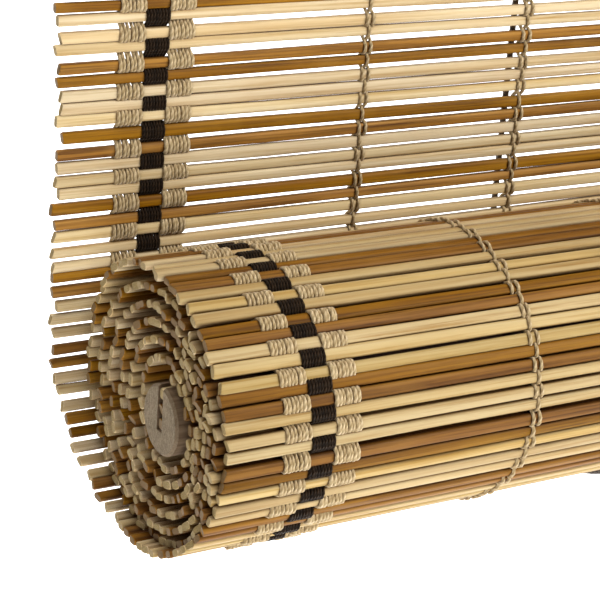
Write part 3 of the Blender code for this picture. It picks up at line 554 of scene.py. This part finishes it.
class Slat:
    """One slat: its middle (y, z), the line's direction there, and its own small differences."""

    def __init__(self, middle, direction, number, shift, rng, rolled):
        self.middle = middle
        self.direction = direction / np.linalg.norm(direction)
        self.number = number
        self.shift = shift
        self.brown = PATTERN[number % len(PATTERN)] == "brown"
        self.width = SLAT_WIDTH * rng.uniform(*WIDTH_RANGE)
        self.thickness = SLAT_THICKNESS * rng.uniform(*THICKNESS_RANGE)
        end_spread = END_SPREAD_ROLLED if rolled else END_SPREAD_HANGING
        self.left = -HALF_WIDTH + shift + rng.normal(0, end_spread)
        self.right = HALF_WIDTH + shift + rng.normal(0, end_spread)
        self.lean = rng.normal(0, LEAN_SPREAD)
        bend_spread = BEND_SPREAD_ROLLED if rolled else BEND_SPREAD_HANGING
        self.slope = rng.normal(0, bend_spread)
        self.bow = rng.normal(0, bend_spread)
        self.droop = rng.normal(0, DROOP_SPREAD), rng.normal(0, DROOP_SPREAD)
        self.seed = rng.uniform(0, 1)
        self.tint = rng.uniform(0, 1)
        self.knot = None
        if rng.uniform() < KNOT_CHANCE:
            self.knot = rng.uniform(-KNOT_REACH, KNOT_REACH) * HALF_WIDTH

    def middle_at(self, x):
        """(y, z) of the slat's middle at x, with its slope, bow and drooping ends."""
        share = x / HALF_WIDTH
        bent = self.slope * share + self.bow * (1 - share ** 2)
        droop = self.droop[0] if share < 0 else self.droop[1]
        bent += droop * max(0.0, abs(share) - DROOP_FROM) / (1 - DROOP_FROM)
        return self.middle + self.direction * bent


def hanging_slats(rng):
    """Slats from the headrail's kerf down to where the curtain meets the roll."""
    count = round((CURTAIN_TOP - ROLL_Z) / HANGING_PITCH)
    pitch = (CURTAIN_TOP - ROLL_Z) / count
    down = np.array((0.0, -1.0))
    slats = []
    for i in range(count):
        z = CURTAIN_TOP - pitch * (i + 0.5) + rng.normal(0, PLACE_SPREAD)
        slats.append(Slat(np.array((0.0, z)), down, FIRST_NUMBER + i, 0.0, rng, False))
    return slats


def rolled_slats(rng, first_number):
    """Slats along the roll's line: at the hanging pitch down the back, and closer after that."""
    steps = np.linspace(0, ROLL_TURNS, LINE_SAMPLES)
    points = np.array([rolled_point(t) for t in steps])
    lengths = np.concatenate([[0], np.cumsum(np.linalg.norm(np.diff(points, axis=0), axis=1))])
    slats = []
    run = ROLLED_PITCH * 0.6
    while run < lengths[-1] - ROLLED_PITCH * 0.4:
        turned = float(np.interp(run, lengths, steps))
        ahead = rolled_point(turned + DIRECTION_STEP) - rolled_point(turned - DIRECTION_STEP)
        slat = Slat(rolled_point(turned), ahead, first_number + len(slats),
                    roll_shift(turned), rng, True)
        slat.turned = turned
        slats.append(slat)
        pitch = HANGING_PITCH if turned < 0.5 else ROLLED_PITCH
        run += pitch * rng.uniform(*PITCH_RANGE)
    return slats


# Slat meshes ------------------------------------------------------------------------------------

def slat_section(width, thickness):
    """Rounded rectangle: (along the curtain, through it) corner points."""
    corner = SLAT_CORNER
    points = []
    for quarter in range(4):
        middle = math.pi / 2 * quarter + math.pi / 4
        cx = math.copysign(width / 2 - corner, math.cos(middle))
        cy = math.copysign(thickness / 2 - corner, math.sin(middle))
        for step in (-1, 0, 1):
            angle = middle + step * math.pi / 4
            points.append((cx + corner * math.cos(angle), cy + corner * math.sin(angle)))
    return np.array(points)


def slat_arrays(slat, rng):
    """(vertices, knot mask, outer-side mask) of one slat, as rings along X; the outer side carries
    painted shade.
    """
    length = slat.right - slat.left
    inner = np.linspace(0, 1, STATIONS - 2)
    stations = np.concatenate([[0, END_TRIM_SHARE], inner[1:-1], [1 - END_TRIM_SHARE, 1]])
    direction = slat.direction
    outward = np.array((-direction[1], direction[0]))
    section = slat_section(slat.width, slat.thickness)
    cos, sin = math.cos(slat.lean), math.sin(slat.lean)
    wobble = rng.normal(0, SECTION_WOBBLE, (len(stations), 2))
    first_slant, last_slant = rng.normal(0, END_SLANT, 2)
    slants = {0: first_slant, len(stations) - 1: last_slant}
    rings, knots = [], []
    for index, share in enumerate(stations):
        x = slat.left + length * share
        trim = END_TRIM if index in slants else 1.0
        knot = 0.0
        if slat.knot is not None:
            knot = math.exp(-((x - slat.knot) / KNOT_LENGTH) ** 2)
        swell = 1.0 + KNOT_SWELL * knot
        u = section[:, 0] * (1 + wobble[index, 0]) * trim * swell
        v = section[:, 1] * (1 + wobble[index, 1]) * trim * swell
        u, v = u * cos - v * sin, u * sin + v * cos
        ring = np.empty((len(section), 3))
        ring[:, 0] = x + slants.get(index, 0.0) * u
        offset = np.outer(u, direction) + np.outer(v, outward)
        ring[:, 1:] = slat.middle_at(x - slat.shift) + offset
        rings.append(ring)
        knots.append(np.full(len(section), knot))
    # Mask of the outer side, which the material paints darker as shade
    outer = np.tile(section[:, 1] > 0, len(stations)).astype(float)
    return np.concatenate(rings), np.concatenate(knots), outer


def slats_mesh(name, slats, rng):
    """All these slats as one mesh with per-slat and per-face attributes for the material."""
    vertices, faces, ends, knots, outer_shade_masks = [], [], [], [], []
    seeds, tints, browns = [], [], []
    base = 0
    for slat in slats:
        verts, knot, outer = slat_arrays(slat, rng)
        rings = len(verts) // SECTION_POINTS
        vertices.append(verts)
        knots.append(knot)
        outer_shade_masks.append(outer)
        for r in range(rings - 1):
            for i in range(SECTION_POINTS):
                j = (i + 1) % SECTION_POINTS
                a = base + r * SECTION_POINTS
                b = a + SECTION_POINTS
                faces.append((a + i, a + j, b + j, b + i))
        faces.append(tuple(base + i for i in reversed(range(SECTION_POINTS))))
        faces.append(tuple(base + (rings - 1) * SECTION_POINTS + i for i in range(SECTION_POINTS)))
        ends += [0.0] * ((rings - 1) * SECTION_POINTS) + [1.0, 1.0]
        seeds += [slat.seed] * len(verts)
        tints += [slat.tint] * len(verts)
        browns += [float(slat.brown)] * len(verts)
        base += len(verts)
    mesh = bpy.data.meshes.new(name)
    mesh.from_pydata(np.concatenate(vertices).tolist(), [], faces)
    for label, values, domain in (("seed", seeds, "POINT"), ("tint", tints, "POINT"),
                                  ("brown", browns, "POINT"), ("end", ends, "FACE"),
                                  ("outer", np.concatenate(outer_shade_masks), "POINT"),
                                  ("knot", np.concatenate(knots), "POINT")):
        layer = mesh.attributes.new(label, "FLOAT", domain)
        layer.data.foreach_set("value", np.asarray(values, np.float32))
    mesh.shade_smooth()
    mesh.set_sharp_from_angle(angle=SHARP_EDGE)
    return mesh


# Warp threads -----------------------------------------------------------------------------------

def tube_mesh(name, vertices, faces, along, around, seeds):
    """A mesh whose points know how far along and how far round the thread or cord they lie."""
    mesh = bpy.data.meshes.new(name)
    mesh.from_pydata(np.asarray(vertices).tolist(), [], faces)
    for label, values in (("along", along), ("around", around), ("seed", seeds)):
        layer = mesh.attributes.new(label, "FLOAT", "POINT")
        layer.data.foreach_set("value", np.asarray(values, np.float32))
    mesh.shade_smooth()
    return mesh


class Threads:
    """Collects thread tubes that go over and under slats, and makes one mesh of them."""

    def __init__(self):
        self.vertices, self.faces = [], []
        self.along, self.around, self.seeds = [], [], []
        self.count = 0

    def add(self, path, xs, normals, radius, seed):
        """A tube round a (y, z) path at distances xs along X."""
        sides = THREAD_SIDES
        angles = 2 * math.pi * np.arange(sides) / sides
        steps = np.linalg.norm(np.diff(path, axis=0), axis=1)
        runs = np.concatenate([[0], np.cumsum(steps)])
        thick = radius * (1 + THREAD_SWELL * np.sin(runs / THREAD_UNEVENNESS + seed * 9))
        rings = np.empty((len(path), sides, 3))
        rings[:, :, 0] = xs[:, None] + np.cos(angles)[None, :] * thick[:, None]
        lift = np.sin(angles)[None, :] * thick[:, None]
        rings[:, :, 1] = path[:, 0, None] + lift * normals[:, 0, None]
        rings[:, :, 2] = path[:, 1, None] + lift * normals[:, 1, None]
        self.vertices.append(rings.reshape(-1, 3))
        start, count = self.count, len(path)
        for r in range(count - 1):
            a = start + r * sides
            for i in range(sides):
                j = (i + 1) % sides
                self.faces.append((a + i, a + sides + i, a + sides + j, a + j))
        self.faces.append(tuple(start + i for i in range(sides)))
        last = start + (count - 1) * sides
        self.faces.append(tuple(last + i for i in reversed(range(sides))))
        self.along.append(np.repeat(runs, sides))
        self.around.append(np.tile(np.arange(sides) / sides, count))
        self.seeds.append(np.full(count * sides, seed))
        self.count += count * sides

    def piece(self, name, look):
        mesh = tube_mesh(name, np.concatenate(self.vertices), self.faces,
                         np.concatenate(self.along), np.concatenate(self.around),
                         np.concatenate(self.seeds))
        return add_object(name, mesh, look)


def thread_line(slats, x, radius, first_side, wander, rng):
    """Middle line, x places and normals of a thread that passes each slat on the other side."""
    path, xs = [], []
    for k, slat in enumerate(slats):
        side = first_side if slat.number % 2 == 0 else -first_side
        outward = np.array((-slat.direction[1], slat.direction[0]))
        reach = (slat.thickness / 2 + radius * THREAD_REACH) * side
        middle = slat.middle_at(x)
        jump = rng.normal(0, wander)
        for place, out in OVER_SLAT:
            path.append(middle + slat.direction * slat.width * place + outward * reach * out)
            xs.append(x + slat.shift + jump)
        after = slats[min(k + 1, len(slats) - 1)]
        if after is slat:
            path.append(middle + slat.direction * slat.width * THREAD_TAIL)
        else:
            path.append((middle + after.middle_at(x)) / 2)
        xs.append(x + (slat.shift + after.shift) / 2 + jump)
    path = np.array(path)
    tangents = np.gradient(path, axis=0)
    tangents /= np.linalg.norm(tangents, axis=1)[:, None]
    normals = np.stack([-tangents[:, 1], tangents[:, 0]], axis=1)
    return path, np.array(xs), normals


def weave(groups, thread_sets, chain, rng):
    """Lays one set of threads through all the slats, cut where the groups of slats meet."""
    for x, radius, first_side, wander in thread_sets:
        path, xs, normals = thread_line(chain, x, radius, first_side, wander, rng)
        seed = rng.uniform(0, 1)
        row = 0
        for threads, count in groups:
            first = max(0, row - 1)
            row += count * ROWS_PER_SLAT
            threads.add(path[first:row], xs[first:row], normals[first:row], radius, seed)


def band_layout(rng):
    """(x, radius, side, wander) of the black threads and of the jute threads of both edge bands."""
    black, jute = [], []
    black_step = BLACK_RADIUS * BLACK_STEP
    jute_step = JUTE_RADIUS * JUTE_STEP
    half_black = BLACK_THREADS / 2 * black_step
    for edge in (-1, 1):
        centre = edge * (HALF_WIDTH - BAND_CENTRE)
        for i in range(BLACK_THREADS):
            x = centre + (i - (BLACK_THREADS - 1) / 2) * black_step
            black.append((x, BLACK_RADIUS, -1, BLACK_WANDER))
        for side in (-1, 1):
            for i in range(JUTE_THREADS):
                x = centre + side * (half_black + BAND_GAP + (i + 0.5) * jute_step)
                jute.append((x, JUTE_RADIUS * rng.uniform(*JUTE_RANGE), 1, JUTE_WANDER))
    for k in range(LINE_COUNT):
        x = -HALF_WIDTH + LINE_FIRST + k * LINE_SPACING
        for offset, side in ((-LINE_OFFSET, 1), (0, -1), (LINE_OFFSET, 1)):
            jute.append((x + offset, LINE_THREAD_RADIUS, side, LINE_WANDER))
    return black, jute


# Cords ------------------------------------------------------------------------------------------

def frames_along(points):
    """Side and up vectors that don't twist, for each point of a line."""
    points = np.asarray(points, float)
    tangents = np.gradient(points, axis=0)
    tangents /= np.linalg.norm(tangents, axis=1)[:, None]
    side = np.cross(tangents[0], (0, 0, 1))
    if np.linalg.norm(side) < 0.1:
        side = np.cross(tangents[0], (0, 1, 0))
    side /= np.linalg.norm(side)
    sides = []
    for tangent in tangents:
        side = side - tangent * side.dot(tangent)
        side /= np.linalg.norm(side)
        sides.append(side)
    sides = np.array(sides)
    return sides, np.cross(tangents, sides)


def cord_tube(name, points, radius, look, sides=CORD_SIDES):
    """A cord's mesh round the points, with the attributes that the braid follows."""
    points = np.asarray(points, float)
    side, up = frames_along(points)
    angles = 2 * math.pi * np.arange(sides) / sides
    vertices = (points[:, None, :] + radius * (np.cos(angles)[None, :, None] * side[:, None, :]
                                               + np.sin(angles)[None, :, None] * up[:, None, :]))
    faces = []
    rings = len(points)
    for r in range(rings - 1):
        for i in range(sides):
            j = (i + 1) % sides
            a, b = r * sides, (r + 1) * sides
            faces.append((a + i, a + j, b + j, b + i))
    faces.append(tuple(reversed(range(sides))))
    faces.append(tuple((rings - 1) * sides + i for i in range(sides)))
    runs = np.concatenate([[0], np.cumsum(np.linalg.norm(np.diff(points, axis=0), axis=1))])
    mesh = tube_mesh(name, vertices.reshape(-1, 3), faces, np.repeat(runs, sides),
                     np.tile(np.arange(sides) / sides, rings), [0.5] * (rings * sides))
    return add_object(name, mesh, look)


def between(start, end, count):
    """`count` points from start to end, both of them included."""
    start, end = np.asarray(start, float), np.asarray(end, float)
    return [start + (end - start) * i / (count - 1) for i in range(count)]


def eased(share):
    """0 to 1 with a gentle start and end."""
    return share * share * (3 - 2 * share)


def arc(centre_x, y, first_angle):
    """A quarter turn clockwise round a sheave, seen from the front."""
    points = []
    for i in range(SHEAVE_STEPS + 1):
        angle = first_angle - math.pi / 2 * i / SHEAVE_STEPS
        points.append((centre_x + SHEAVE_PITCH * math.cos(angle), y,
                       SHEAVE_Z + SHEAVE_PITCH * math.sin(angle)))
    return points


def node_middle(name):
    """The middle of a CAD node's box."""
    low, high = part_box(name)
    return (low + high) / 2


def stands_for(obj, slot, *nodes):
    """The piece is shown instead of these CAD nodes, which are hidden. The slot is not used."""
    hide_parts(*nodes)


def cord_knot(name, node, radius, look):
    """An overhand knot pulled tight in its pocket."""
    low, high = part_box(node)
    middle = (low + high) / 2
    scale = ((high.x - low.x) / 2 - radius) / 3
    points = []
    for i in range(KNOT_STEPS + 1):
        t = 2 * math.pi * i / KNOT_STEPS
        points.append((middle.x + scale * (math.sin(t) + 2 * math.sin(2 * t)),
                       middle.y + scale * (math.cos(t) - 2 * math.cos(2 * t)),
                       middle.z - scale * KNOT_HEIGHT * math.sin(3 * t)))
    knot = cord_tube(name, points, radius * 0.95, look)
    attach(knot, "headrail_assembly")
    stands_for(knot, "cord", node)


def lift_cords(look):
    """Both lift cords, stretch by stretch, each moving as its CAD node does."""
    for end in ("left", "right"):
        low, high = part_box(f"lift_cord_rear_{end}")
        x, y = (low.x + high.x) / 2, (low.y + high.y) / 2
        radius = (high.x - low.x) / 2
        line = between((x, y, high.z), (x, y, low.z), STRAIGHT_POINTS)
        rear = cord_tube(f"braided_cord_rear_{end}", line, radius, look)
        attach(rear, "headrail_assembly")
        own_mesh(rear)
        stands_for(rear, "cord", f"lift_cord_rear_{end}")

        low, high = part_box(f"lift_cord_loop_{end}")
        back = high.y - radius - ROLL_Y
        points = []
        for i in range(LOOP_STEPS + 1):
            angle = -LOOP_SWEEP * i / LOOP_STEPS
            reach = back + (LOOP_RADIUS_FRONT - back) * min(1, -angle / math.pi)
            points.append((x, ROLL_Y + reach * math.cos(angle), ROLL_Z + reach * math.sin(angle)))
        loop = cord_tube(f"braided_cord_loop_{end}", points, radius, look)
        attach(loop, "cord_loops")
        stands_for(loop, "cord", f"lift_cord_loop_{end}")

        pulley = node_middle(f"pulley_sheave_{end}")
        plane_y = pulley.y
        line = between((x, plane_y, SHEAVE_Z), points[-1], STRAIGHT_POINTS)
        front_run = cord_tube(f"braided_cord_front_{end}", line, radius, look)
        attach(front_run, "headrail_assembly")
        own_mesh(front_run)
        stands_for(front_run, "cord", f"lift_cord_front_{end}")

        run = arc(pulley.x, plane_y, math.pi)
        run += between(run[-1], (LOCK_X, plane_y, run[-1][2]), STRAIGHT_POINTS // 2)[1:-1]
        run += arc(LOCK_X, plane_y, math.pi / 2)
        head = cord_tube(f"braided_cord_head_{end}", run, radius, look)
        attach(head, "headrail_assembly")
        stands_for(head, "cord", f"lift_cord_head_{end}")

        bead_top_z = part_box("joining_bead")[1].z
        bead_y = (plane_y + node_middle("joining_bead").y) / 2
        bend = (run[-1][0], plane_y, LOCK_BOTTOM_Z)
        line = between(run[-1], bend, LOCK_POINTS)[:-1]
        line += between(bend, (bend[0], bead_y, bead_top_z), TAIL_POINTS)
        tail = cord_tube(f"braided_cord_tail_{end}", line, radius, look)
        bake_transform(tail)
        stands_for(tail, "cord", f"lift_cord_tail_{end}")
        cord_knot(f"cord_knot_tied_{end}", f"cord_knot_{end}", radius, look)


def coil_places():
    """(along X, outward) places of the turns in the hank's section, row by row."""
    places = []
    for row, count in enumerate(HANK_ROWS):
        out = (row - len(HANK_ROWS) // 2) * HANK_STEP * HANK_ROW_STEP
        line = [((i - (count - 1) / 2) * HANK_STEP, out) for i in range(count)]
        places += line if row % 2 == 0 else line[::-1]
    return places


def hank_turns(places, centre, radius):
    """Points of all the hank's turns; each crosses to the next one's place near its end."""
    points = []
    for place, after in zip(places, places[1:] + places[-1:]):
        for i in range(TURN_STEPS):
            share = i / TURN_STEPS
            move = eased(max(0.0, (share - CROSSING_FROM) / (1 - CROSSING_FROM)))
            across = place[0] + (after[0] - place[0]) * move
            out = place[1] + (after[1] - place[1]) * move
            angle = math.pi / 2 + 2 * math.pi * share
            sag = 1.0 - HANK_SAG * math.sin(angle)
            points.append(np.array((centre.x + across,
                                    centre.y + (radius + out) * math.cos(angle) * HANK_FLATNESS,
                                    centre.z + (radius + out) * math.sin(angle) * sag)))
    return points


def pull_cord(look):
    """The pull cord: down from the bead, wound into a hank through its tie, and to the tassel."""
    bead = node_middle("joining_bead")
    tassel = node_middle("tassel")
    low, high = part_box("pull_cord_coil")
    centre = (low + high) / 2
    radius = abs(centre.z - node_middle("coil_tie").z)
    places = coil_places()

    points = [np.array((bead.x, bead.y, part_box("joining_bead")[0].z + LEAD_CLEARANCE))]
    first_across, first_out = places[0]
    hank_top = np.array((centre.x + first_across, centre.y, centre.z + radius + first_out))
    for i in range(1, LEAD_IN_STEPS):
        share = i / LEAD_IN_STEPS
        point = points[0] + (hank_top - points[0]) * share
        point[0] = points[0][0] + (hank_top[0] - points[0][0]) * eased(share)
        point[1] += LEAD_IN_BOW * math.sin(math.pi * share)
        points.append(point)
    points += hank_turns(places, centre, radius)
    last = points[-1]
    lead = np.array((tassel.x, tassel.y, low.z + LEAD_OUT_RISE))
    for i in range(1, LEAD_OUT_STEPS + 1):
        share = i / LEAD_OUT_STEPS
        across = eased(share)
        points.append(last + (lead - last) * np.array((across, across, share)))
    end = (tassel.x, tassel.y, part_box("tassel")[1].z - LEAD_INSERT)
    points += between(lead, end, LEAD_POINTS)[1:]

    hank = cord_tube("pull_cord_hank", points, CORD_RADIUS, look, sides=THIN_CORD_SIDES)
    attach(hank, "pull_end")
    stands_for(hank, "cord", "pull_cord", "pull_cord_coil", "tassel_lead")


# CAD nodes that stay in view -------------------------------------------------------------------

def dress(names, look):
    """Gives the CAD meshes of these nodes a look; their shapes stay."""
    for name in names:
        mesh = NODES[name].data
        mesh.materials.clear()
        mesh.materials.append(look)


def dress_hardware():
    pine = board_material("lacquered_pine", (0.47, 0.27, 0.11), (0.70, 0.49, 0.26),
                          (0.36, 0.19, 0.07), (3, 45, 60), 0.42, 0.25)
    turned = board_material("turned_wood", (0.22, 0.10, 0.035), (0.36, 0.185, 0.075),
                            (0.11, 0.045, 0.015), (180, 180, 25), 0.38, 0.3)
    zinc = metal_material("zinc_plate", (0.62, 0.63, 0.64), (0.40, 0.41, 0.42), 0.26)
    brass = metal_material("knurled_brass", (0.72, 0.50, 0.21), (0.40, 0.25, 0.09), 0.24)
    nylon = nylon_material()
    steel_names = [name for name in NODES if name.startswith(
        ("mounting_bracket", "bracket_screw", "pulley_bracket", "pulley_axle", "pulley_screw",
         "cord_lock", "lock_guide_axle", "dowel_nail"))]
    dress(["headrail", "head_spline"], pine)
    dress(["joining_bead", "tassel"], turned)
    dress(["bottom_dowel"], dowel_material())
    dress(steel_names, zinc)
    dress(["lock_roller"], brass)
    dress(["pulley_sheave_left", "pulley_sheave_right", "lock_guide_sheave"], nylon)


def coil_tie(look):
    """The cord whipped round the hank: a few turns side by side in the tie's place."""
    low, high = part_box("coil_tie")
    middle = (low + high) / 2
    radius = (high.x - low.x) / 2 - TIE_DEPTH
    steps = TIE_TURNS * TIE_STEPS
    points = []
    for i in range(steps + 1):
        share = i / steps
        angle = 2 * math.pi * TIE_TURNS * share
        points.append((middle.x + radius * math.cos(angle),
                       low.y + TIE_MARGIN + (high.y - low.y - 2 * TIE_MARGIN) * share,
                       middle.z + radius * math.sin(angle)))
    tie = cord_tube("coil_tie_whipping", points, TIE_RADIUS, look, sides=THIN_CORD_SIDES)
    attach(tie, "pull_end")
    stands_for(tie, "cord", "coil_tie")
    return tie


# Curtain ---------------------------------------------------------------------------------------

def pinned_slats(rng):
    """The curtain's last slats, held on edge in the dowel's kerf."""
    slats = []
    for number in (3, 2, 1):
        low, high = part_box(f"pinned_slat_{number}")
        middle = np.array(((low.y + high.y) / 2, (low.z + high.z) / 2))
        slat = Slat(middle, np.array((0.0, -1.0)), number, (low.x + high.x) / 2, rng, True)
        slat.width = (high.z - low.z) * PINNED_WIDTH_SHARE
        slat.thickness = (high.y - low.y) * PINNED_THICKNESS_SHARE
        slat.slope = slat.bow = slat.lean = 0.0
        slat.droop = (0.0, 0.0)
        slat.left = DOWEL_LOW.x + PINNED_END_DEPTH
        slats.append(slat)
    return slats


def add_curtain():
    """All the slats and warp threads, in pieces that meet where the curtain's movements differ."""
    rng = np.random.default_rng(SEED)
    bamboo = slat_material()
    black_look = yarn_material("black_thread", (0.005, 0.0024, 0.0008), (0.034, 0.017, 0.006),
                               (0.024, 0.012, 0.004), 620, 0.68, 0.03)
    jute_look = yarn_material("jute_twine", (0.36, 0.25, 0.115), (0.70, 0.55, 0.33),
                              (0.52, 0.39, 0.20), 480, 0.9, 0.2)

    hanging = hanging_slats(rng)
    rolled = rolled_slats(rng, hanging[-1].number + 1)
    upper = [slat for slat in hanging if slat.middle[1] > SPLIT_Z]
    lower = hanging[len(upper):]
    outer = [slat for slat in rolled if slat.turned < THREADED_TURNS]
    pinned = pinned_slats(rng)

    hung_groups = (("upper", upper, "curtain_upper"), ("lower", lower, "curtain_lower"))
    groups = (*hung_groups, ("rolled", outer, "slat_roll"))
    black_layout, jute_layout = band_layout(rng)
    for kind, layout, look in (("black_threads", black_layout, black_look),
                               ("jute_threads", jute_layout, jute_look)):
        collected = [(Threads(), len(slats)) for _, slats, _ in groups]
        weave(collected, layout, upper + lower + outer, rng)
        for (threads, _), (place, _, node) in zip(collected, groups):
            move_with_curtain(threads.piece(f"{kind}_{place}", look), place, node)

    for place, slats, node in (*hung_groups, ("rolled", rolled, "slat_roll")):
        obj = add_object(f"slats_{place}", slats_mesh(f"slats_{place}", slats, rng), bamboo)
        move_with_curtain(obj, place, node)
    for slat in pinned:
        name = f"pinned_slat_{slat.number}"
        obj = add_object(name + "_split", slats_mesh(name + "_split", [slat], rng), bamboo)
        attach(obj, "roll")
        stands_for(obj, "bamboo_slats", name)


def move_with_curtain(obj, place, node):
    """The roll carries its part; the hanging part stays up, and its lower stretch gets a mesh of
    its own.
    """
    if place == "rolled":
        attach(obj, "roll")
    else:
        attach(obj, "headrail_assembly")
    if place == "lower":
        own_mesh(obj)
    stands_for(obj, "bamboo_slats", node)


# Room ------------------------------------------------------------------------------------------

def add_room():
    """White floor and wall, far from the blind, with soft light from three sides."""
    bm = bmesh.new()
    profile = [(-ROOM_REACH, FLOOR_Z)]
    for i in range(SWEEP_STEPS + 1):
        angle = -math.pi / 2 + math.pi / 2 * i / SWEEP_STEPS
        profile.append((WALL_Y - SWEEP_RADIUS + SWEEP_RADIUS * math.cos(angle),
                        FLOOR_Z + SWEEP_RADIUS + SWEEP_RADIUS * math.sin(angle)))
    profile.append((WALL_Y, WALL_TOP))
    rows = []
    for y, z in profile:
        rows.append((bm.verts.new((-ROOM_REACH, y, z)), bm.verts.new((ROOM_REACH, y, z))))
    for (a, b), (c, d) in zip(rows, rows[1:]):
        bm.faces.new((a, b, d, c))
    mesh = bpy.data.meshes.new("backdrop")
    bm.to_mesh(mesh)
    bm.free()
    mesh.shade_smooth()
    g = Graph("studio_white")
    g.set(colour=(0.90, 0.90, 0.90), roughness=0.9, specular=0.1)
    g.feed(g.shader.inputs["Emission Color"], (1, 1, 1, 1))
    across = g.node("SeparateXYZ", {"Vector": g.position()}).outputs["X"]
    glow = g.math("MULTIPLY_ADD", g.level(across, *GLOW_FADE), BACKDROP_GLOW - GLOW_LEFT,
                  GLOW_LEFT)
    g.feed(g.shader.inputs["Emission Strength"], glow)
    backdrop = add_object("backdrop", mesh, g.material)

    world = bpy.data.worlds.new("world")
    bpy.context.scene.world = world
    world.use_nodes = True
    background = world.node_tree.nodes["Background"]
    background.inputs["Color"].default_value = (1, 1, 1, 1)
    background.inputs["Strength"].default_value = WORLD_LIGHT
    for name, place, size, power in (("key", (1.5, -2.6, 1.5), 1.6, KEY_LIGHT),
                                     ("fill", (-1.3, -0.9, 1.3), 0.5, FILL_LIGHT),
                                     ("top", (0.0, 0.3, 2.2), 2.0, TOP_LIGHT)):
        data = bpy.data.lights.new(name, "AREA")
        data.size = size
        data.energy = power
        light = bpy.data.objects.new(name, data)
        bpy.context.scene.collection.objects.link(light)
        aim = LIGHTS_AIM - Vector(place)
        light.matrix_world = (Matrix.Translation(place)
                              @ aim.to_track_quat("-Z", "Y").to_matrix().to_4x4())


make_camera()
bpy.context.scene.view_settings.view_transform = "Standard"
cord_look = cord_material()
lift_cords(cord_look)
tie = coil_tie(cord_look)
pull_cord(cord_look)
dress_hardware()
add_curtain()
add_room()
